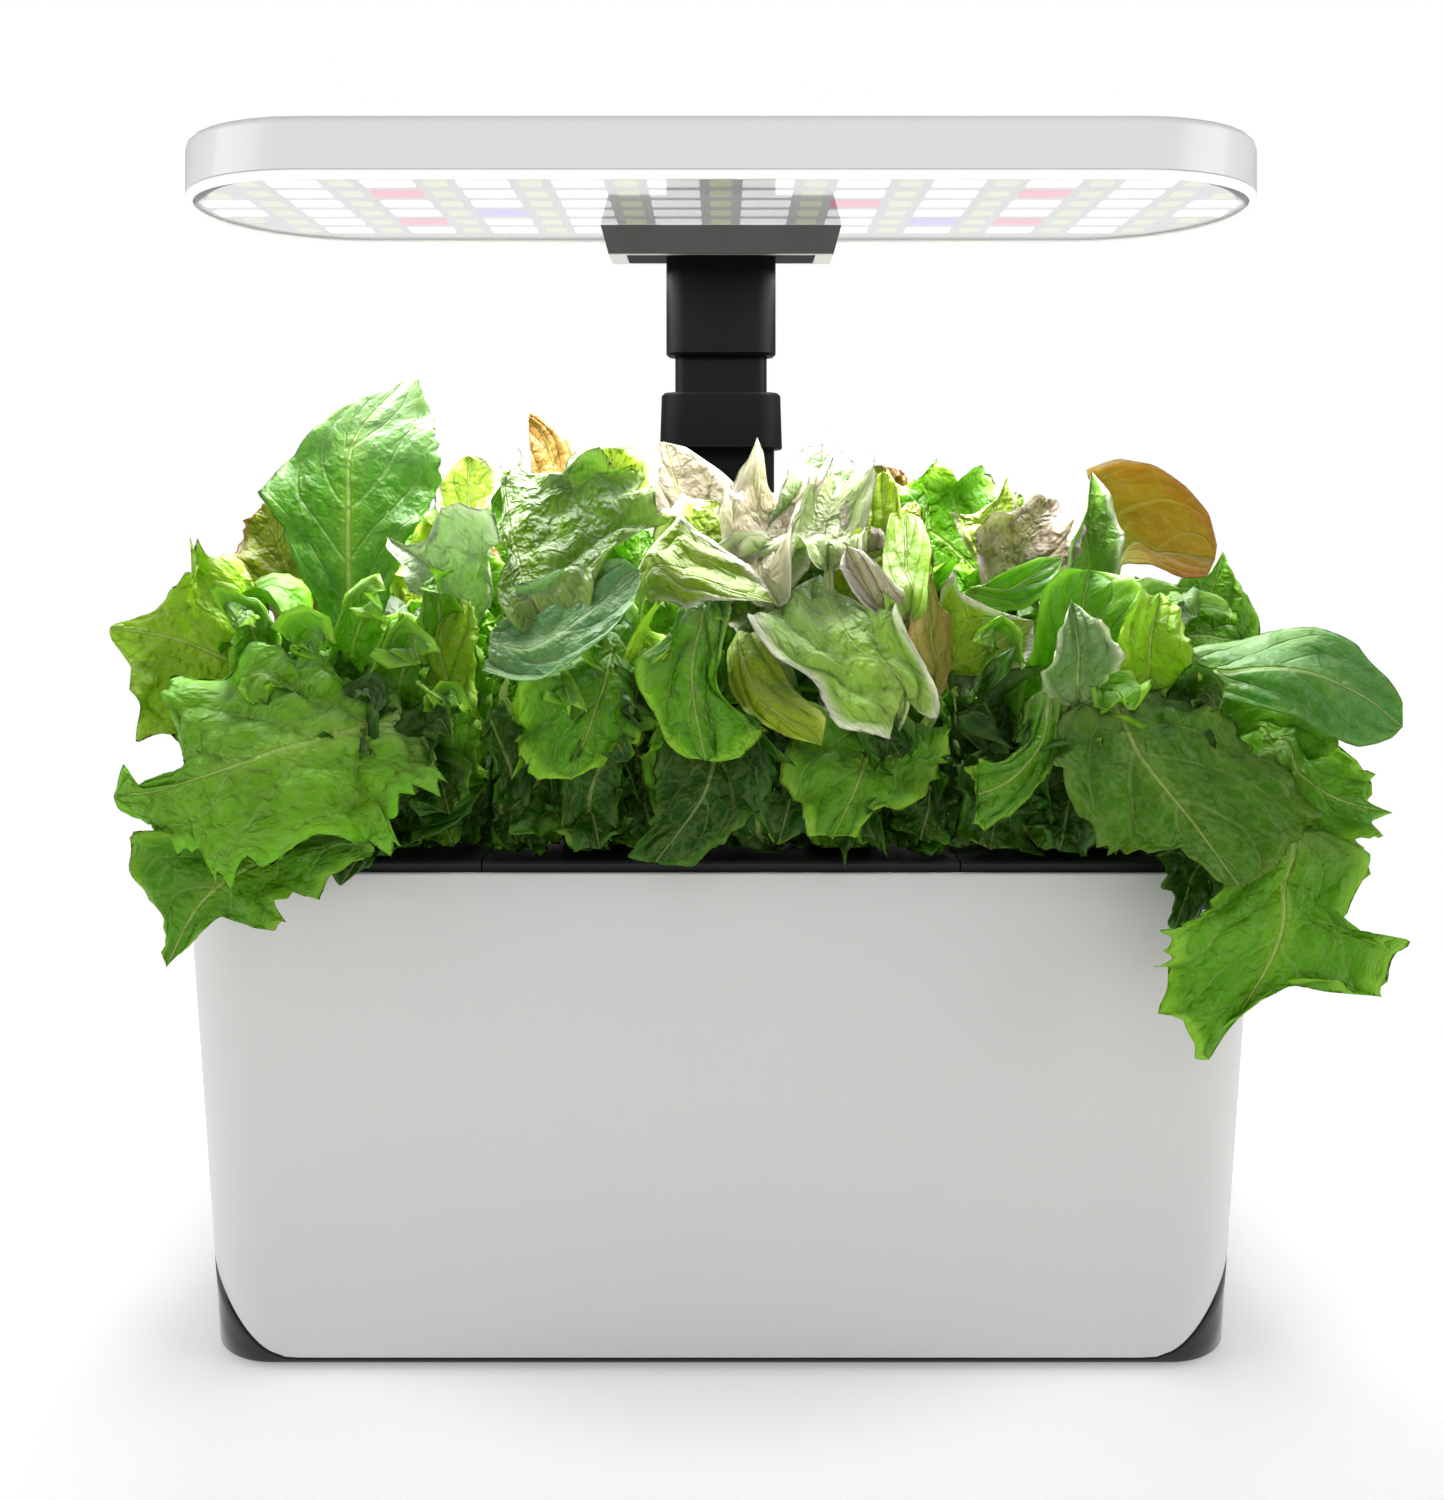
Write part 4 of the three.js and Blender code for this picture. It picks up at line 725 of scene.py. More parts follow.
def grow(plot, path, width, kind="frill", green="bright", roll=(0, 0), facing=(0, -1, 0.25), rows=84,
         columns=17, in_space=False, margins=None, edge=(0, 0), **changes):
    """One leaf: a blade of lens-shaped section swept along its midrib, out to a width or two drawn margins.

    Across the blade the surface bends with a curl, ruffles more and more towards its margin and bulges
    between the side veins; the margin itself is scalloped and toothed. The two faces meet in a thin edge.
    The path's places are column, row and depth in the picture, or x, y and z in space. Edge sets the drawn
    margins further back, or forward where it is below zero.
    """
    shape = {**kinds[kind], **changes}
    random = np.random.default_rng(random_all.integers(1 << 30))
    spots = np.array(path if in_space else [seen(*spot) for spot in path], float)
    if not in_space:
        pod_x, pod_y = pods[plot]
        foot = [pod_x + random.uniform(-5, 5), pod_y + random.uniform(-5, 5), rim_height]
        spots = np.concatenate([[foot], spots])
        width = width * (camera_reach + path[-1][2]) / focal_pixels
    fine = curve(spots, np.linspace(0, 1, 400))
    length = np.concatenate([[0], np.cumsum(np.linalg.norm(np.diff(fine, axis=0), axis=1))])
    total = length[-1]
    share = 0.5 - 0.5 * np.cos(np.linspace(0.0, math.pi, rows))
    share = 0.25 * share + 0.75 * np.linspace(0, 1, rows)
    spine = np.stack([np.interp(share * total, length, fine[:, axis]) for axis in range(3)], 1)
    forward, up, out = directions(spine, share, facing, roll)

    if margins is None:
        stalk = shape.get("stalk", 0.22)
        peak, blunt = shape["peak"], shape["blunt"]
        blade_share = np.clip((share - stalk) / (1 - stalk), 0, 1)
        bump = (blade_share / peak) ** (blunt * peak / (1 - peak)) * ((1 - blade_share) / (1 - peak)) ** blunt
        stem_width = shape["foot"] * width * (1 - smooth(stalk, 0.75, share))
        half = np.maximum(stem_width, width * bump)
        reaches = [-out * half[:, None], out * half[:, None]]
    else:
        stalk = length[np.argmin(np.linalg.norm(fine - spots[1], axis=1))] / total
        blade_share = np.clip((share - stalk) / (1 - stalk), 0, 1)
        on = smooth(stalk - 0.02, stalk + 0.03, share)[:, None]
        reaches = []
        for way, margin, back in zip((-1, 1), margins, edge):
            drawn = along_margin([path[0][:2]] + list(margin) + [path[-1][:2]], blade_share)
            depth = spine[:, 1] + back * np.sin(math.pi * blade_share)
            far = seen(drawn[:, 0], drawn[:, 1], depth) - spine
            stem = out * (3.0 * way)
            reaches.append(far * on + stem * (1 - on) * (0.4 + 0.6 * (1 - share[:, None])))
        width = np.linalg.norm(reaches, axis=2).max()
        shape["lobes"] = 0.0

    along = share[:, None]
    across = np.linspace(-1, 1, columns)
    across = np.sign(across) * np.abs(across) ** 0.85
    outward = np.abs(across)[None, :]
    on_left = (across < 0)[None, :]
    scallop, ruffle, fine_ruffle, phase = (np.where(on_left, left[:, None], right[:, None])
                                           for left, right in margin_waves(shape, share, random))
    phase = phase - shape["lean"] * outward * (0.6 + 0.4 * outward)

    pulls = np.where(on_left[:, :, None], reaches[0][:, None, :], reaches[1][:, None, :])
    spans = np.linalg.norm(pulls, axis=2)
    pulls = pulls / (spans[:, :, None] + tiny)
    blade_rows = smooth(stalk * 0.8, stalk + 0.12, along)
    reach = spans * (1 + (scallop - 1) * outward ** 2 * blade_rows) * outward
    curl = shape["curl"] * (0.4 + 0.6 * along) + 1e-4
    sideways = reach * np.sin(curl * outward) / (curl * outward + 1e-6)
    if margins is not None:
        sideways = sideways / (np.sin(curl) / curl)
    lift = reach * (1 - np.cos(curl * outward)) / (curl * outward + 1e-6) * shape.get("cup", 1)
    room = blade_rows * np.minimum(1, spans / max(width, 1) * 1.6)
    lift = lift + shape["ruffle"] * (ruffle * outward ** 1.8 + 0.42 * fine_ruffle * outward ** 3.5) * room
    bulge = np.abs(np.sin(math.pi * (phase - 0.5))) ** 0.8
    blister = 0.65 + 0.35 * np.sin(circle * (reach / 11 + phase * 0.37))
    crown = np.sin(math.pi * np.clip(outward * 1.05, 0, 1)) ** 0.7
    lift = lift + shape["pucker"] * bulge * blister * crown * room
    sway = wobble(share, random, shape["waves"] * 1.3)[:, None]
    slide = 0.3 * shape["ruffle"] * sway * outward ** 2 * blade_rows
    middle = (spine[:, None, :] + pulls * sideways[:, :, None] + up[:, None, :] * lift[:, :, None]
              + forward[:, None, :] * slide[:, :, None])

    normal = np.cross(np.gradient(middle, axis=0), np.gradient(middle, axis=1))
    size = np.linalg.norm(normal, axis=2, keepdims=True)
    normal = np.where(size > 1e-6, normal / (size + tiny), up[:, None, :])
    against = np.sum(normal * up[:, None, :], axis=2, keepdims=True) < -0.2
    normal = np.where(against, -normal, normal)
    distance = np.minimum(sideways, reach)
    rib_reach = 2.0 + 1.6 * (1 - along)
    thick = 0.45 + shape["rib"] * (1 - 0.8 * along) * np.exp(-(distance / rib_reach) ** 2)
    tip_rows = smooth(0.0, 0.12, 1 - along)
    thick = thick * np.sqrt(np.clip(1 - outward ** 6, 0.02, 1)) * np.clip(tip_rows * 1.2, 0.15, 1)
    front = middle + normal * (thick * 0.35)[:, :, None]
    back = middle - normal * (thick * 0.65)[:, :, None]
    front[:, [0, -1]] = middle[:, [0, -1]]
    rings = keep_in_plot(np.concatenate([front, back[:, -2:0:-1]], axis=1), plot)

    tint = blade_tint(shape, green, outward, along, stalk, random)
    blade = np.stack(np.broadcast_arrays(outward, phase, along), -1)
    flat_start = random.random() * 300
    flat = np.stack(np.broadcast_arrays(distance * np.sign(across)[None, :], along * total, flat_start), -1)
    grown[plot].append((rings, wrapped(tint), wrapped(blade), wrapped(flat)))


def draw(plot, path, left, right, kind="frill", green="bright", rows=110, columns=21, **changes):
    """A leaf seen in the picture: midrib and both margins are given as places in the picture."""
    grow(plot, path, 1.0, kind, green, rows=rows, columns=columns, margins=(left, right), **changes)


def make_lettuces():
    """Joins each pod's leaves in two meshes, outer and inner, with their colours and vein coordinates."""
    halves = [(plot, "outer", leaves[:len(leaves) // 2]) for plot, leaves in grown.items()]
    halves += [(plot, "inner", leaves[len(leaves) // 2:]) for plot, leaves in grown.items()]
    for plot, half, leaves in halves:
        faces = []
        stores = ([], [], [], [])
        start = 0
        for leaf in leaves:
            rows, columns = leaf[0].shape[:2]
            faces += ring_faces(rows, columns, start)
            faces += end_fans(rows, columns, start)
            for number, (store, values) in enumerate(zip(stores, leaf)):
                ends = [values[0, 0], values[-1, -1]]
                if number == 0:
                    ends = [values[0].mean(0), values[-1].mean(0)]
                store.append(np.concatenate([values.reshape(-1, values.shape[-1]), ends]))
            start += rows * columns + 2
        points, tint, blade, flat = (np.concatenate(store) for store in stores)
        make_piece("lettuce_" + half + "_leaves_" + plot, points, faces, ["lettuce_" + plot], "leaf", {
            "tint": ("FLOAT_COLOR", "color", tint),
            "blade": ("FLOAT_VECTOR", "vector", blade),
            "flat": ("FLOAT_VECTOR", "vector", flat),
        })


# Left plants, seen from the front

draw("left_front", [(360, 690, -40), (350, 600, -40), (349, 510, -36), (355, 440, -30), (405, 380, -20)],
     [(342, 650), (325, 620), (305, 580), (282, 530), (262, 492), (290, 455), (320, 425), (355, 402),
      (390, 387)],
     [(380, 640), (390, 595), (400, 560), (422, 525), (435, 495), (442, 477), (435, 435), (427, 405),
      (420, 378)], "romaine", "cos", curl=0.3, facing=(0.1, -1, 0.1), wash=0.35, wash_from=0.72)
draw("left_rear", [(345, 700, 6), (305, 610, 2), (262, 503, 0)],
     [(320, 690), (285, 640), (262, 600), (240, 560), (246, 522)],
     [(365, 650), (350, 590), (325, 540), (292, 502), (272, 496)], "lollo", "bronze", ruffle=6)
draw("left_rear", [(330, 700, -10), (250, 670, -30), (180, 640, -40), (112, 628, -44)],
     [(290, 730), (240, 745), (185, 742), (140, 742), (132, 720), (134, 685), (125, 655)],
     [(300, 655), (265, 630), (255, 595), (235, 557), (212, 560), (190, 540), (192, 570), (170, 600),
      (140, 618)], "frill", "light", edge=(8, 8), facing=(0, -1, 0.4))
draw("left_front", [(408, 732, -66), (300, 745, -90), (230, 768, -96), (160, 790, -95), (116, 796, -90)],
     [(418, 722), (421, 745), (426, 775), (436, 797), (410, 800), (397, 820), (402, 848), (360, 847),
      (315, 855), (260, 875), (236, 896), (197, 857), (165, 852), (155, 827), (127, 812)],
     [(404, 712), (390, 690), (355, 684), (320, 658), (290, 670), (250, 658), (235, 678), (176, 686),
      (187, 720), (192, 760), (185, 775), (145, 787), (130, 765)],
     "frill", "soft", rows=200, columns=31, edge=(-2, 28), pucker=6.5, relief=1.1, ruffle=8, teeth=0.16,
      teeth_count=34, facing=(0, -1, 0.45))
draw("left_front", [(330, 835, -74), (250, 868, -90), (200, 905, -95), (166, 968, -94)],
     [(380, 850), (326, 880), (326, 896), (295, 895), (282, 905), (290, 925), (280, 936), (258, 925),
      (235, 911), (220, 915), (197, 940)],
     [(250, 845), (165, 835), (132, 842), (135, 862), (154, 893), (162, 915), (166, 940), (160, 958)],
     edge=(4, 4), ruffle=6)
draw("left_front", [(390, 815, -46), (365, 850, -64), (342, 884, -70)],
     [(410, 850), (385, 862), (360, 872)],
     [(360, 830), (330, 855), (326, 872)], "frill", "dark", ruffle=3)
draw("left_front", [(470, 640, -34), (450, 590, -46), (425, 562, -50), (386, 536, -48)],
     [(455, 612), (435, 598), (410, 592), (400, 570), (390, 552)],
     [(491, 600), (492, 550), (486, 508), (460, 504), (440, 510), (431, 537), (410, 547)],
     "lollo", "frost", edge=(-6, -6), wash=0.5, wash_from=0.3, ruffle=8)
draw("left_rear", [(470, 560, 20), (470, 505, 24), (468, 455, 24)],
     [(445, 540), (438, 510), (434, 480), (450, 460)],
     [(492, 540), (497, 510), (504, 482), (500, 462), (485, 456)], "butter", "pale", edge=(-4, -4))
draw("left_rear", [(415, 640, 10), (425, 580, 14), (440, 520, 16)],
     [(395, 630), (392, 590), (405, 550), (420, 525)],
     [(445, 640), (455, 600), (458, 560), (452, 530)], "lollo", "yellow")
draw("left_front", [(455, 780, -50), (450, 700, -60), (440, 640, -62), (455, 598, -58)],
     [(430, 770), (425, 720), (420, 670), (422, 630), (435, 605)],
     [(480, 770), (482, 720), (476, 670), (480, 625), (470, 600)], "frill", "light", edge=(4, 4), ruffle=4)
grow("left_front", [(410, 760, -44), (412, 690, -50), (400, 620, -44)], 40, "frill", "deep")
grow("left_front", [(430, 800, -58), (440, 780, -68), (450, 815, -76)],
     42, "frill", "dark", facing=(0, -1, 0.4))
grow("left_front", [(300, 760, -60), (250, 770, -76), (190, 790, -80)], 50, "frill", "dark")
grow("left_rear", [(330, 720, 0), (280, 680, -6), (230, 700, -10)], 60, "frill", "deep")
grow("left_rear", [(420, 700, 20), (440, 620, 24), (470, 590, 24)], 60, "frill", "deep")

# Centre plants

draw("centre_left", [(545, 632, -72), (522, 575, -66), (508, 515, -50), (500, 450, -28)],
     [(505, 620), (498, 580), (496, 530), (497, 490), (498, 465)],
     [(600, 595), (635, 562), (655, 536), (666, 524), (646, 496), (639, 470), (620, 492), (595, 498),
      (565, 487), (540, 476), (516, 465)],
     "frill", "tuft", rows=130, columns=29, edge=(-8, -8), pucker=5.0, ruffle=11, relief=1.2,
      facing=(0, -1, 0.6), wash=0.3, wash_from=0.8)
draw("centre_left", [(560, 520, 2), (556, 470, 8), (540, 430, 10), (508, 421, 8)],
     [(535, 500), (528, 462), (516, 436)],
     [(585, 500), (578, 462), (565, 436), (535, 416), (515, 412)], "butter", "tan", ruffle=2)
draw("centre_left", [(612, 540, 0), (612, 495, 6), (610, 446, 8)],
     [(585, 520), (570, 490), (568, 465), (588, 448)],
     [(645, 520), (660, 490), (659, 462), (636, 447)], "butter", "rimmed", edge=(-8, -8), cup=1.4)
draw("centre_left", [(690, 570, -4), (682, 510, 4), (664, 441, 8)],
     [(660, 545), (650, 495), (641, 458), (648, 443)],
     [(730, 550), (744, 503), (730, 484), (710, 466), (686, 447)], "butter", "lilac", ruffle=3)
draw("centre_left", [(470, 656, -72), (530, 650, -84), (590, 612, -86), (641, 570, -80)],
     [(478, 648), (505, 640), (530, 628), (556, 608), (592, 584), (628, 566)],
     [(482, 678), (515, 697), (550, 694), (582, 681), (617, 652), (638, 615), (643, 590)],
     "smooth", "blue", pucker=4.5, edge=(28, -4), facing=(0, -1, 0.8), curl=1.1, cup=1.6, relief=0.8,
      wash=0.12, wash_from=0.3)
draw("centre_left", [(642, 592, -66), (685, 577, -80), (730, 590, -82), (777, 604, -76)],
     [(638, 574), (660, 549), (681, 528), (698, 549), (730, 569), (760, 586)],
     [(656, 602), (685, 616), (712, 606), (755, 602)],
     "butter", "rolled", edge=(24, -2), facing=(0, -1, 0.8), ruffle=2.5)
draw("centre_left", [(620, 640, -56), (602, 692, -76), (572, 776, -82)],
     [(665, 650), (684, 688), (676, 712), (664, 728), (646, 733), (636, 756), (621, 747), (605, 762)],
     [(560, 655), (530, 690), (516, 728), (514, 756), (540, 776)], edge=(6, 6), pucker=3.4)
draw("centre_left", [(702, 610, -66), (692, 680, -86), (706, 762, -90)],
     [(733, 612), (742, 655), (743, 700), (760, 735), (742, 760)],
     [(668, 620), (661, 668), (668, 702), (664, 736), (690, 758)],
     "butter", columns=27, edge=(10, 10), ruffle=11, pucker=6, relief=1.2, roll=(0, 40))
draw("centre_right", [(745, 640, -56), (756, 692, -76), (822, 746, -84)],
     [(765, 640), (795, 690), (826, 720)],
     [(727, 650), (728, 690), (750, 722), (785, 737)], "butter", "yellow", edge=(6, 6), ruffle=4)
draw("centre_left", [(705, 735, -60), (706, 790, -84), (655, 863, -90)],
     [(745, 742), (776, 778), (757, 815), (722, 845), (700, 862)],
     [(656, 740), (654, 785), (650, 830), (630, 853)], "frill", "dark", edge=(4, 4), ruffle=5)
draw("centre_left", [(560, 740, -50), (540, 780, -60), (500, 820, -66)],
     [(590, 760), (580, 810), (540, 840)],
     [(520, 740), (490, 770), (478, 805)], "frill", "dark")
draw("centre_right", [(768, 605, -62), (764, 548, -46), (782, 496, -22)],
     [(735, 585), (728, 560), (716, 530), (720, 510), (744, 486)],
     [(792, 590), (786, 570), (790, 550), (810, 526), (820, 492)],
     "lollo", "lilac", rows=120, columns=27, edge=(-6, -6), relief=1.4)
draw("centre_right", [(828, 575, -64), (824, 532, -52), (836, 484, -28)],
     [(795, 560), (780, 540), (796, 516), (811, 484)],
     [(862, 565), (868, 530), (865, 504), (858, 478)],
     "lollo", "pale", rows=120, columns=27, edge=(-8, -8), wash=0.4)
grow("centre_right", [(850, 600, -50), (880, 540, -50), (884, 472, -44)], 30, "butter", "yellow", curl=1.2)
grow("centre_right", [(760, 600, -40), (770, 570, -56), (800, 545, -58)], 40, "lollo", "pale", wash=0.3)
grow("centre_right", [(850, 600, -36), (858, 540, -52), (846, 500, -50)], 36, "lollo", "lilac")
grow("centre_right", [(800, 600, -30), (815, 520, -30), (822, 456, -24)], 50, "lollo", "frost", wash=0.4)
grow("centre_right", [(880, 600, -20), (905, 540, -24), (915, 500, -20)], 34, "lollo", "bronze")
grow("centre_left", [(700, 640, -20), (700, 560, -24), (715, 500, -20)], 52, "lollo", "pale")
grow("centre_left", [(560, 640, 0), (560, 560, 4), (540, 500, 6)], 60, "frill", "yellow")
grow("centre_left", [(520, 740, -30), (515, 660, -34), (512, 590, -30)], 50, "frill", "deep")
grow("centre_left", [(540, 700, -10), (520, 620, -6), (505, 540, 0)], 56)
grow("centre_right", [(900, 740, -30), (915, 660, -34), (925, 590, -30)], 50, "frill", "deep")
grow("centre_right", [(900, 700, -10), (918, 620, -6), (925, 540, 0)], 50)
grow("centre_left", [(650, 720, -36), (655, 660, -44), (650, 600, -44)], 60, "frill", "deep")
grow("centre_right", [(790, 740, -36), (790, 660, -44), (800, 600, -44)], 60, "frill", "deep")
draw("centre_right", [(925, 620, -10), (918, 545, 0), (888, 468, 2)],
     [(905, 590), (893, 540), (875, 500), (868, 475)],
     [(945, 600), (942, 555), (930, 515), (908, 478)], "lollo", "ember", ruffle=7)
draw("centre_right", [(905, 625, -72), (906, 565, -64), (905, 512, -44)],
     [(884, 612), (882, 560), (889, 520)],
     [(926, 612), (930, 560), (923, 520)], "smooth", "light", edge=(-6, -6), cup=1.4)
draw("centre_right", [(905, 700, -86), (850, 640, -80), (820, 574, -56)],
     [(880, 728), (836, 750), (826, 712), (785, 701), (764, 675), (755, 640), (764, 614), (795, 594)],
     [(927, 712), (922, 680), (902, 640), (866, 614), (840, 594)],
     "butter", "cream", rows=130, columns=31, edge=(12, 12), pucker=6.5, ruffle=10, cup=1.8, relief=1.3,
      facing=(-0.2, -1, 0.8), wash=0.25, wash_from=0.6)
draw("centre_right", [(908, 640, -66), (880, 606, -76), (846, 545, -74)],
     [(880, 630), (856, 600), (840, 570)],
     [(912, 625), (898, 590), (865, 555)], "butter", "lilac", ruffle=2)
draw("centre_right", [(938, 705, -60), (932, 645, -70), (925, 570, -66)],
     [(905, 690), (905, 640), (912, 598)],
     [(965, 690), (968, 640), (950, 598)], "butter", "peach", edge=(-4, -4))
draw("centre_right", [(872, 715, -56), (862, 772, -80), (832, 840, -86)],
     [(940, 728), (944, 770), (922, 802), (882, 806), (866, 820), (856, 838)],
     [(790, 730), (778, 770), (800, 802), (812, 836)], "frill", "deep", edge=(6, 6))
grow("centre_right", [(800, 780, -56), (790, 800, -70), (780, 840, -74)],
     46, "frill", "dark", facing=(0, -1, 0.3))
grow("centre_right", [(920, 790, -56), (930, 800, -66), (920, 840, -74)],
     46, "frill", "dark", facing=(0, -1, 0.3))
grow("centre_left", [(590, 780, -50), (590, 800, -62), (600, 850, -70)],
     46, "frill", "dark", facing=(0, -1, 0.3))
grow("centre_left", [(640, 700, -20), (640, 610, -16), (640, 530, -8)], 56)
grow("centre_left", [(690, 660, -30), (700, 600, -36), (720, 560, -34)], 60, "frill", "deep")
grow("centre_right", [(850, 650, -30), (850, 600, -36), (850, 540, -34)], 70, "frill", "redgreen")

# Right plants

draw("right_rear", [(1118, 566, -2), (1160, 553, -10), (1214, 560, -8)],
     [(1118, 530), (1101, 500), (1086, 474), (1115, 464), (1150, 470), (1180, 490), (1206, 515),
      (1216, 545)],
     [(1130, 562), (1150, 565), (1185, 579), (1206, 577)], "smooth", "orange", edge=(-4, -4), curl=0.3)
draw("right_rear", [(1085, 590, -14), (1086, 530, -20), (1091, 473, -16)],
     [(1062, 575), (1066, 540), (1084, 510)],
     [(1116, 570), (1125, 530), (1111, 500)], "butter", "frost", edge=(-8, -8))
draw("right_rear", [(1018, 610, -8), (1022, 560, -14), (1045, 499, -10)],
     [(985, 595), (973, 555), (979, 520), (1005, 517), (1025, 505)],
     [(1056, 595), (1076, 550), (1083, 518), (1061, 513)],
     "lollo", "purple", rows=120, columns=27, edge=(-6, -6), ruffle=8)
draw("right_rear", [(985, 570, 6), (990, 525, 8), (1007, 477, 8)],
     [(962, 545), (945, 518), (975, 512), (996, 500)],
     [(1010, 545), (1020, 512)], "lollo", "pale", ruffle=3)
draw("right_front", [(968, 612, -46), (1012, 588, -58), (1064, 557, -50)],
     [(975, 595), (1010, 570), (1040, 558)],
     [(985, 615), (1022, 612), (1052, 590)], "smooth")
draw("right_front", [(1066, 695, -46), (1078, 630, -60), (1090, 569, -56)],
     [(1028, 668), (1035, 620), (1040, 590), (1060, 573)],
     [(1120, 665), (1132, 620), (1143, 592), (1128, 578)], "smooth", edge=(-4, -4))
draw("right_front", [(1078, 705, -72), (1078, 650, -82), (1071, 599, -80)],
     [(1055, 705), (1039, 672), (1055, 640), (1062, 618)],
     [(1106, 697), (1119, 650), (1098, 622), (1080, 604)],
     "frill", "sage", edge=(-4, -4), ruffle=6, wash=0.15, wash_from=0.3)
draw("right_front", [(1142, 700, -58), (1150, 640, -68), (1160, 593, -62)],
     [(1108, 685), (1114, 640), (1130, 608)],
     [(1194, 685), (1187, 640), (1176, 604)], "frill", "light", edge=(-6, -6), ruffle=5)
draw("right_front", [(940, 700, -58), (980, 655, -72), (1036, 620, -66)],
     [(940, 660), (935, 600), (941, 571), (955, 600), (985, 614)],
     [(962, 690), (1000, 682), (1022, 666)], "butter", "rolled", edge=(6, 6), ruffle=3)
draw("right_rear", [(1190, 665, 0), (1206, 610, -4), (1223, 552, -4)],
     [(1168, 640), (1164, 598), (1180, 580), (1206, 574)],
     [(1252, 655), (1259, 632), (1242, 590)], ruffle=4)
draw("right_front", [(1192, 690, -58), (1235, 672, -72), (1300, 671, -78), (1360, 695, -74),
      (1403, 727, -68)],
     [(1190, 655), (1225, 645), (1265, 636), (1302, 634), (1345, 656), (1376, 680), (1396, 705)],
     [(1222, 706), (1250, 711), (1298, 726), (1320, 741), (1350, 750), (1390, 739)],
     "smooth", "plain", edge=(22, -4), facing=(0, -1, 0.6), pucker=2.0)
draw("right_front", [(1054, 690, -68), (1042, 740, -86), (1002, 785, -92), (920, 805, -90)],
     [(1070, 700), (1062, 740), (1046, 775), (1021, 806), (985, 832), (950, 821)],
     [(1025, 700), (1021, 745), (1000, 765), (980, 759), (950, 766), (930, 785)], edge=(6, 6), ruffle=5)
draw("right_front", [(1100, 695, -66), (1142, 760, -88), (1192, 822, -95), (1240, 887, -94)],
     [(1160, 698), (1200, 718), (1250, 748), (1281, 775), (1296, 815), (1276, 852)],
     [(1058, 720), (1048, 752), (1060, 800), (1100, 846), (1125, 853), (1176, 852), (1212, 876)],
     "frill", "redgreen", rows=140, columns=29, edge=(22, -2), pucker=4.5, ruffle=7, facing=(0, -1, 0.4))
draw("right_front", [(1262, 742, -56), (1300, 775, -74), (1340, 800, -78), (1386, 811, -74)],
     [(1272, 734), (1300, 734), (1326, 760), (1366, 776), (1363, 798)],
     [(1264, 792), (1295, 831), (1326, 843), (1346, 838), (1362, 836)], edge=(4, 4))
draw("right_front", [(1276, 826, -70), (1283, 890, -90), (1274, 952, -95), (1210, 1058, -93)],
     [(1326, 832), (1356, 865), (1356, 890), (1335, 920), (1346, 932), (1356, 955), (1380, 955),
      (1386, 935), (1407, 935), (1381, 975), (1383, 994), (1342, 993), (1340, 976), (1318, 972),
      (1275, 983), (1246, 1001), (1221, 1022), (1217, 1046)],
     [(1240, 850), (1220, 882), (1195, 920), (1159, 927), (1168, 942), (1156, 965), (1166, 990),
      (1154, 1011), (1180, 1021), (1195, 1036), (1195, 1052)], rows=150, columns=29, edge=(2, 2), ruffle=7)
draw("right_front", [(1200, 840, -64), (1190, 880, -78), (1176, 925, -82)],
     [(1225, 860), (1222, 900), (1200, 922)],
     [(1165, 850), (1160, 880), (1165, 905)], "frill", "dark")
grow("right_front", [(1080, 810, -54), (1070, 800, -66), (1060, 850, -76)],
     46, "frill", "dark", facing=(0, -1, 0.3))
grow("right_front", [(1010, 800, -50), (1000, 790, -62), (990, 850, -72)],
     46, "frill", "dark", facing=(0, -1, 0.3))
grow("right_front", [(1240, 740, -50), (1270, 740, -60), (1310, 800, -66)], 56, "frill", "deep")
grow("right_front", [(1280, 780, -50), (1320, 810, -66), (1310, 900, -76)], 50, "frill", "deep")
grow("right_rear", [(1120, 720, 10), (1100, 640, 10), (1060, 600, 10)], 66, "frill", "deep")
grow("right_rear", [(1160, 700, 0), (1180, 640, -10), (1240, 640, -16)], 66, "frill", "deep")
grow("right_rear", [(1010, 740, 4), (990, 660, 4), (975, 590, 4)], 54, "frill", "deep")
grow("right_rear", [(1040, 700, 20), (1020, 620, 24), (1000, 550, 24)], 60)
grow("right_front", [(1010, 760, -36), (985, 720, -44), (975, 660, -44)], 44, "frill", "dark")
grow("left_front", [(440, 780, -36), (455, 720, -44), (462, 640, -44)], 44, "frill", "deep")
grow("left_rear", [(430, 740, 0), (450, 660, 4), (470, 590, 4)], 54)
grow("left_rear", [(400, 700, 30), (450, 620, 40), (480, 540, 40)], 60, "frill", "bronze")
grow("right_front", [(1060, 740, -46), (1020, 700, -56), (980, 700, -60)], 56, "frill", "deep")

# Leaves along the seams, placed in space

for side, name in ((-1, "left"), (1, "right")):
    rear, front, centre = name + "_rear", name + "_front", "centre_" + name
    for y, high, end, width, green in ((18, 205, 196, 30, "dark"), (34, 198, 184, 22, "dark"),
                                       (26, 232, 262, 34, "deep"), (10, 215, 226, 32, "deep"),
                                       (40, 262, 300, 36, "bright")):
        grow(rear, [(*pods[rear], rim_height), (side * 110, y + 6, high), (side * 68, y, end)],
             width, "frill", green, in_space=True, facing=(0, -1, 0.2), stalk=0.1)
    grow(front, [(*pods[front], rim_height), (side * 110, -30, 196), (side * 68, -38, 186)],
         26, "frill", "dark", in_space=True, facing=(0, -1, 0.3), stalk=0.1)
    for y, high, end, width, green in ((-50, 200, 194, 28, "dark"), (-30, 235, 256, 34, "deep"),
                                       (-14, 262, 296, 34, "bright")):
        grow(centre, [(*pods[centre], rim_height), (side * 60, y + 6, high), (side * 92, y, end)],
             width, "frill", green, in_space=True, facing=(0, -1, 0.2), stalk=0.1)


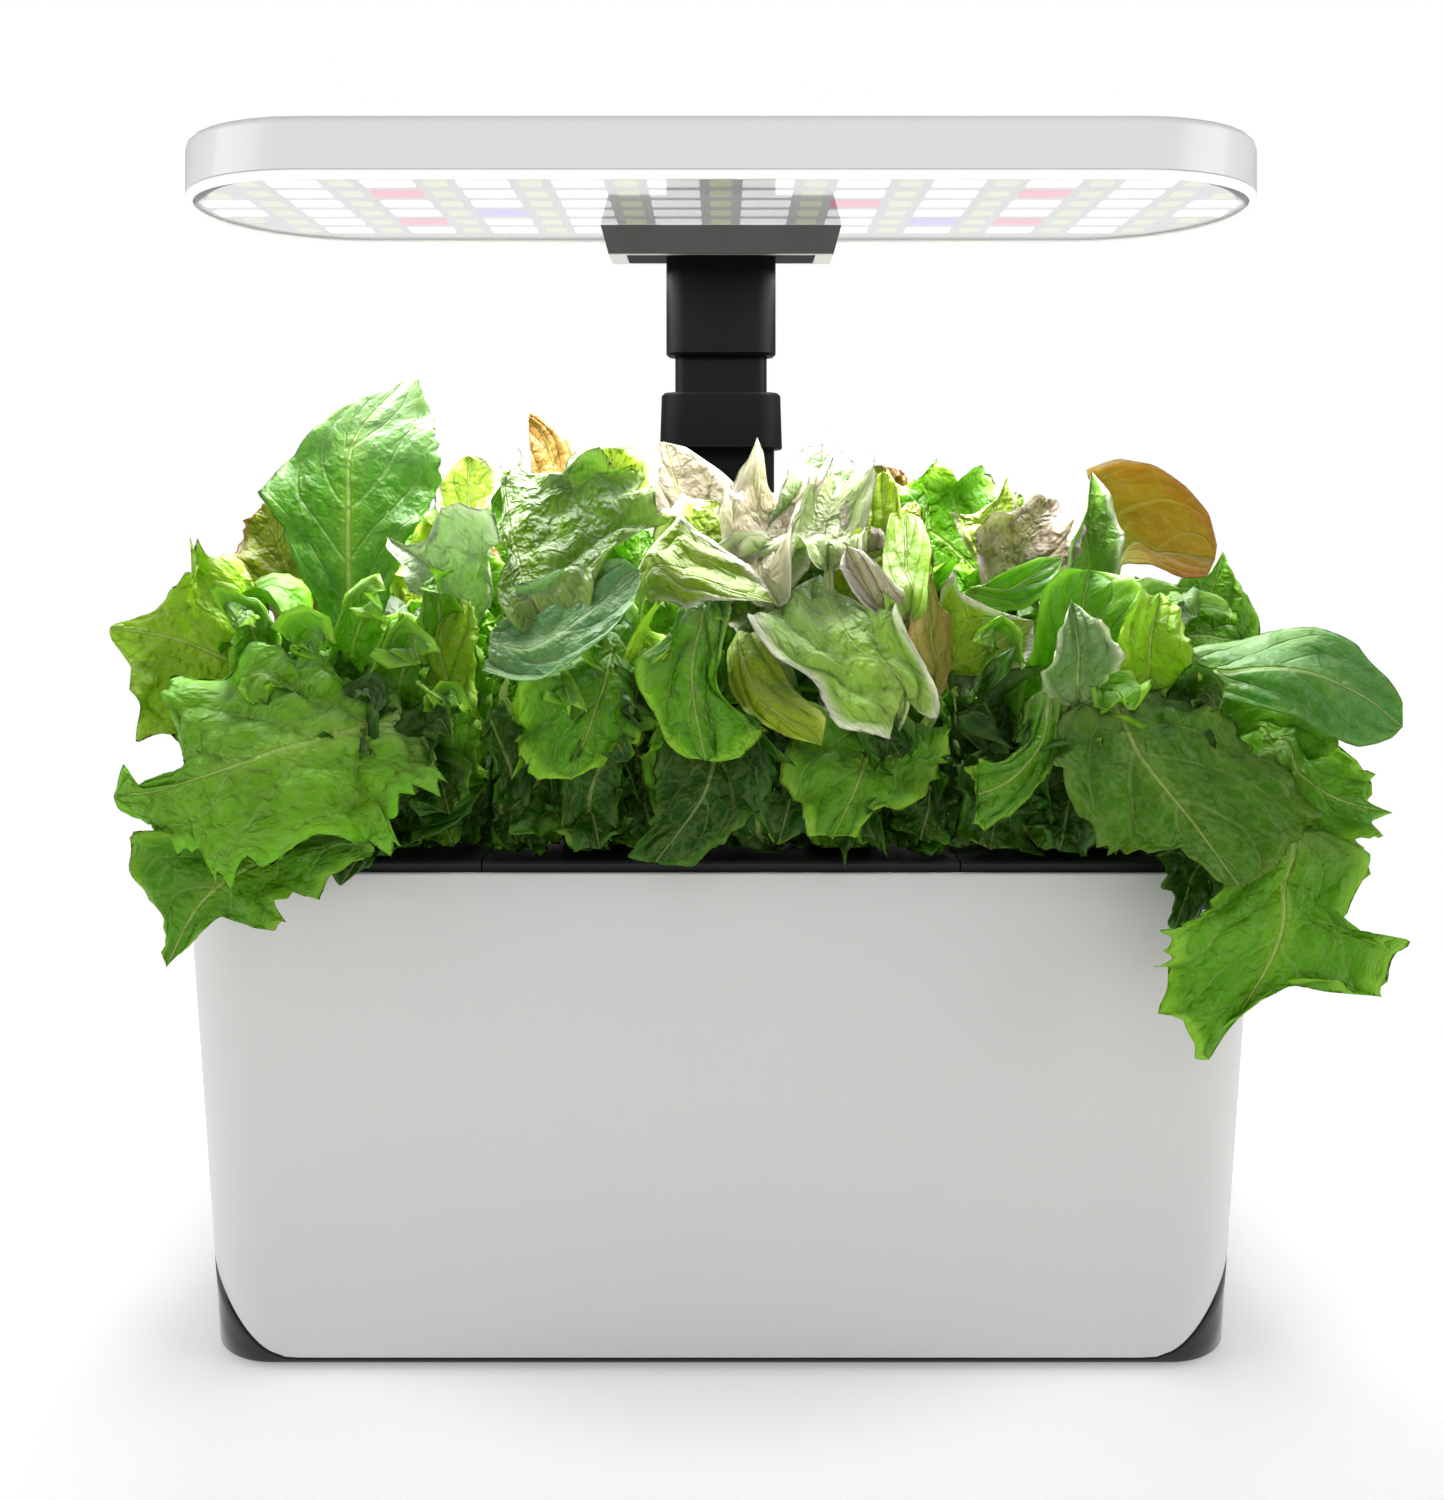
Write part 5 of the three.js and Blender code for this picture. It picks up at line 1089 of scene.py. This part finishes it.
def plot_at(column, left_seam, right_seam):
    """Front plot behind a column of the picture, given the columns of the two seams."""
    if column < middle_column:
        return "left_front" if column < left_seam else "centre_left"
    return "centre_right" if column < right_seam else "right_front"


def fill_in():
    """Inner, rear and low leaves: arcs that rise from each pod and lean out, seeded in way and kind."""
    random = np.random.default_rng(7)
    sorts = (("frill", "deep"), ("frill", "dark"), ("butter", "deep"), ("frill", "bright"),
             ("lollo", "redgreen"))
    for plot, (pod_x, pod_y) in pods.items():
        rear = plot.endswith("rear")
        centre = plot.startswith("centre")
        count = 10 if rear else 7
        for number in range(count):
            spread = circle * (number + random.uniform(0.1, 0.9)) / count
            if centre:
                aim = np.array([math.cos(spread) * 0.5, -abs(math.sin(spread)) * 0.6 + 0.15])
            elif rear:
                aim = np.array([math.cos(spread) * 0.75, 0.25 + 0.75 * abs(math.sin(spread))])
            else:
                aim = np.array([math.cos(spread) * 0.8, math.sin(spread) * 0.6])
            reach = random.uniform(42, 66)
            top = random.uniform(48, 90)
            path = [(pod_x + aim[0] * out, pod_y + aim[1] * out, rim_height + up) for out, up in (
                (0, 0), (8, top * 0.5), (reach * 0.6, top), (reach, top * random.uniform(0.7, 1.1)))]
            kind, green = sorts[random.integers(len(sorts))]
            grow(plot, path, random.uniform(20, 27), kind, green, facing=(-aim[0], -aim[1], 1.2),
                 rows=64, columns=13, in_space=True, stalk=0.3)
    for number, column in enumerate(range(392, 1130, 23)):
        plot = plot_at(column, 468, 974)
        deep = (number % 3) * 7
        tip = column + random.uniform(-22, 22)
        path = [(column, 772, -26 - deep), (column, 778 + 2 * deep, -38 - deep),
                (tip, 858 - deep, -46 - deep)]
        # Low leaves take dark greens, partly their own colour and partly painted shade near the deck
        grow(plot, path, random.uniform(26, 36), "frill",
             ("dark", "deep", "dark", "redgreen")[random.integers(4)],
             facing=(0, -1, 0.5), rows=56, columns=11, ruffle=4, pucker=1.6)


def fill_frills():
    """Small curly leaves in the gaps between the drawn ones, set a little behind them."""
    random = np.random.default_rng(19)
    upper = (("frill", "bright"), ("lollo", "light"), ("frill", "deep"), ("frill", "bright"))
    # Low leaves take darker greens, partly their own colour and partly painted shade near the deck
    lower = (("frill", "deep"), ("frill", "dark"), ("frill", "dark"), ("lollo", "dark"))
    count = 42
    seam_columns = (474, 968)

    # Behind drawn leaves: first column, last column and lowest row
    hidden = ((500, 670, 640), (725, 930, 735), (1030, 1180, 690))
    for number in range(count):
        column = 250 + 930 * (number + random.uniform(0.1, 0.9)) / count
        row = (610, 700, 655, 745)[number % 4] + random.uniform(-16, 16)
        over_seam = any(abs(column - seam) < 14 for seam in seam_columns)
        over_drawn = any(low < column < high and row < end for low, high, end in hidden)
        if over_seam or over_drawn:
            continue
        plot = plot_at(column, *seam_columns)
        deep = -62 - 0.05 * (row - 620)
        lean = random.uniform(-34, 34)
        kind, green = (upper if row < 690 else lower)[random.integers(4)]
        path = [(column, row + 90, deep + 18), (column, row + 34, deep), (column + lean, row - 12, deep - 8),
                (column + 1.6 * lean, row + 4, deep - 18)]
        grow(plot, path, random.uniform(26, 38), kind, green, roll=(0, random.uniform(-40, 40)),
             facing=(0, -1, 0.5), rows=60, columns=13, waves=8, curl=0.9)


fill_in()
fill_frills()
make_lettuces()


# Sponges

def make_sponge(plot):
    """Foam plug: a turned profile whose side swells and dents by a few seeded waves."""
    low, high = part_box("sponge_" + plot)
    radius = (high.x - low.x) / 2 / metre
    bottom, top = low.z / metre, high.z / metre
    middle = np.array([(low.x + high.x) / 2, (low.y + high.y) / 2]) / metre
    angle = np.linspace(0, circle, 48, endpoint=False)
    rings = []
    profile = [(0.5, 0.0), (0.93, 0.0), (1.0, 0.04)] + [(1.0, share) for share in np.linspace(0.1, 0.9, 12)]
    profile += [(1.0, 0.96), (0.93, 1.0), (0.5, 1.0)]
    for size, share in profile:
        dent = 1 - 0.02 * (1 + np.sin(5 * angle + 9 * share)) * 0.5
        around = radius * size * dent
        rings.append(np.stack([middle[0] + around * np.cos(angle), middle[1] + around * np.sin(angle),
                               np.full_like(angle, bottom + (top - bottom) * share)], 1))
    points, faces = loft(rings)
    make_piece("foam_plug_" + plot, points, faces, ["sponge_" + plot], "sponge")


for plot in pods:
    make_sponge(plot)


# CAD nodes that show as they are

def finish_node(name, slot):
    """Gives a CAD node its finish, and smooth shading that keeps its sharp edges."""
    node = frame["nodes"][name]
    node.data.materials.clear()
    node.data.materials.append(finishes[slot])
    node.data.polygons.foreach_set("use_smooth", [True] * len(node.data.polygons))
    weld = node.modifiers.new("weld", "WELD")
    weld.merge_threshold = 0.00001
    split = node.modifiers.new("sharp edges", "EDGE_SPLIT")
    split.split_angle = math.radians(32)
    weighted = node.modifiers.new("flat faces first", "WEIGHTED_NORMAL")
    weighted.keep_sharp = True


for subpart in frame["record"]["subparts"]:
    finish_node(subpart["node"], subpart["material_slot"])


# Lamp

lamp_shape = outline(40, 24)
lamp_half_length = 200.0
lamp_half_depth = 57.0
lamp_corner = 55.0


def lamp_rings(profile):
    """Rings of the lamp's outline, for rows of inset and height."""
    return [ring_at(lamp_shape, lamp_half_length, lamp_half_depth, lamp_corner, height, inset)
            for inset, height in profile]


def make_rim():
    """White ring round the lamp's underside, with a rounded outer edge and a narrow lip under the lens."""
    profile = ((2.0, 411.0), (2.0, 409.05), (2.6, 409.0), (2.6, 408.25), (2.4, 408.05), (1.6, 408.0),
               (0.9, 408.05), (0.25, 408.5), (0.0, 409.2), (0.0, 410.3), (0.1, 410.7), (0.5, 411.0))
    points, faces = loft(lamp_rings(profile), loop=True)
    make_piece("rim_ring", points, faces, ["lamp_rim"], "rim")


def make_lens():
    """Clear sheet with a rounded edge."""
    points, faces = loft(lamp_rings(((2.5, 409.1), (2.2, 409.25), (2.2, 410.35), (2.5, 410.5))))
    make_piece("lens_sheet", points, faces, ["lamp_lens"], "lens")


def make_board():
    """Coated board with rows of light bars and smaller warm chips between them, all in one mesh; the board
    itself has a painted glow.
    """
    underside = 411.3
    points, faces = loft(lamp_rings(((3.2, underside), (2.8, 411.5), (2.8, 412.4), (3.2, 412.6))))
    bar_pitch = 33.7
    row_pitch = 15.9
    bar = (18.4, 10.6)
    chip = (8.1, 8.4)
    raised = 0.3
    end_chip_x = 184.5
    end_chip_y = 21.0
    # Painted glow of the coating between the bars, which is no lamp
    painted_board_glow = 0.46
    chip_shape = outline(4, 1)
    coloured = {(-4, 1): "red", (-4, 4): "red", (1, 2): "red", (3, 4): "red", (3, 1): "red",
                (-3, 3): "violet", (2, 4): "violet"}
    levels = {"white": (1.15, 1.15, 1.14), "warm": (0.66, 0.68, 0.47), "red": (0.8, 0.2, 0.3),
              "violet": (0.42, 0.36, 0.85)}
    glow = [np.full((len(points), 4), painted_board_glow)]
    points = [points]
    start = len(points[0])

    def fits(x, y, size):
        """Whether a bar or chip at x, y lies wholly on the board."""
        corner_x = max(abs(x) + size[0] / 2 - (lamp_half_length - lamp_corner), 0)
        corner_y = max(abs(y) + size[1] / 2 - (lamp_half_depth - lamp_corner), 0)
        return math.hypot(corner_x, corner_y) < lamp_corner - 3.4

    def place(x, y, size, level):
        """Adds a bar or chip with a bevelled edge, and its light."""
        nonlocal start
        profile = ((0.3, underside - raised), (0.0, underside + 0.1 - raised), (0.0, underside + 0.05))
        rings = [ring_at(chip_shape, size[0] / 2, size[1] / 2, 1.2, height, inset, (x, y))
                 for inset, height in profile]
        block, block_faces = loft(rings, start=start)
        faces.extend(block_faces)
        points.append(block)
        colour = np.ones((len(block), 4))
        colour[:, :3] = levels[level]
        glow.append(colour)
        start += len(block)

    for row in range(6):
        y = (row - 2.5) * row_pitch
        for column in range(-6, 6):
            x = (column + 0.5) * bar_pitch
            if fits(x, y, bar):
                place(x, y, bar, coloured.get((column, row), "white"))
        for column in range(-5, 6):
            x = column * bar_pitch
            if fits(x, y, chip):
                place(x, y, chip, "warm")
    for end in (-1, 1):
        for y in (-end_chip_y, end_chip_y):
            place(end * end_chip_x, y, chip, "warm")
    make_piece("light_board", np.concatenate(points), faces, ["led_board"], "board",
               {"glow": ("FLOAT_COLOR", "color", np.concatenate(glow))})


make_rim()
make_lens()
make_board()


# Stage

def floor_finish():
    """White floor that takes the object's shadow, with painted shade that greys its colour close to the
    object, and turns to plain white light further off.
    """
    shade = Shade("white floor")
    place = shade.add("SeparateXYZ", Vector=shade.place())
    x = place * 2.0
    y = place.twin(1) * 2.6
    radius = (x * x + y * y).maths("SQRT")
    far = radius.step(0.55, 1.25)
    near = 1.0 - far
    # Painted shade: the floor's colour is grey close to the object and white beyond
    beside = radius.step(0.16, 0.31)
    base = shade.mix(near, (0,) * 3, shade.mix(beside, (0.7,) * 3, (0.97,) * 3))
    light = shade.mix(far, (0.3,) * 3, (1,) * 3)
    surface = shade.add("BsdfPrincipled", Base_Color=base, Roughness=0.6, Specular_IOR_Level=0.1,
                        Emission_Color=light, Emission_Strength=1.0)
    return shade.out(surface)


floor_mesh = bpy.data.meshes.new("floor")
floor_mesh.from_pydata([(-6, -6, 0), (6, -6, 0), (6, 6, 0), (-6, 6, 0)], [], [(0, 1, 2, 3)])
floor_mesh.materials.append(floor_finish())
floor = bpy.data.objects.new("floor", floor_mesh)
bpy.context.scene.collection.objects.link(floor)
floor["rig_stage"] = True


def make_world():
    """White to the camera; a softer grey-white for the light that falls on the object."""
    world = bpy.data.worlds.new("white room")
    bpy.context.scene.world = world
    world.use_nodes = True
    tree = world.node_tree
    tree.nodes.clear()
    path, mix, background, end = (tree.nodes.new("ShaderNode" + kind) for kind in (
        "LightPath", "Mix", "Background", "OutputWorld"))
    mix.data_type = "RGBA"
    mix.inputs[6].default_value = (0.30, 0.30, 0.305, 1)
    mix.inputs[7].default_value = (1, 1, 1, 1)
    tree.links.new(path.outputs["Is Camera Ray"], mix.inputs[0])
    tree.links.new(mix.outputs[2], background.inputs["Color"])
    tree.links.new(background.outputs[0], end.inputs["Surface"])


def add_light(name, place, aim, size, power):
    """Area light at place that faces aim, left out of the camera's sight."""
    light = bpy.data.lights.new(name, "AREA")
    light.shape = "RECTANGLE"
    light.size, light.size_y = size
    light.energy = power
    lamp = bpy.data.objects.new(name, light)
    lamp.location = place
    lamp.rotation_mode = "QUATERNION"
    lamp.rotation_quaternion = (Vector(aim) - Vector(place)).to_track_quat("-Z", "Y")
    lamp.visible_camera = False
    bpy.context.scene.collection.objects.link(lamp)
    lamp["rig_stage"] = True
    return lamp


make_world()

# The grow lights hang just under the lamp at its lowest
light_height = 0.392
for side in (-1, 1):
    add_light("grow light", (0.108 * side, 0, light_height), (0.108 * side, 0, 0), (0.15, 0.095), 1.05)
front_grow_light = add_light("front grow light", (0, -0.03, light_height), (0, -0.03, 0), (0.07, 0.05), 0.3)
front_grow_light.visible_glossy = False
add_light("front soft box", (0, -1.6, 1.1), (0, 0, 0.15), (1.6, 1.0), 3.3)
add_light("rear soft box", (0, 1.3, 1.5), (0, 0, 0.2), (1.4, 0.8), 3.2)
add_light("top soft box", (0, -0.1, 2.0), (0, 0, 0.3), (1.2, 1.2), 3.0)
add_light("left soft box", (-1.3, -0.5, 0.5), (0, 0, 0.15), (0.9, 0.9), 6.5)
add_light("right soft box", (1.3, -0.5, 0.5), (0, 0, 0.15), (0.9, 0.9), 6.5)

camera_data = bpy.data.cameras.new("camera")
camera_data.sensor_width = 36
camera_data.lens = camera_data.sensor_width * focal_pixels / picture_height
camera_data.shift_x = (picture_width / 2 - middle_column) / picture_height
camera_data.shift_y = (horizon_row - picture_height / 2) / picture_height
camera = bpy.data.objects.new("camera", camera_data)
camera.location = (0, -camera_reach * metre, camera_height * metre)
camera.rotation_euler = (math.pi / 2, 0, 0)
bpy.context.scene.collection.objects.link(camera)
bpy.context.scene.camera = camera
bpy.context.scene.view_settings.view_transform = "Standard"

low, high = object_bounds()
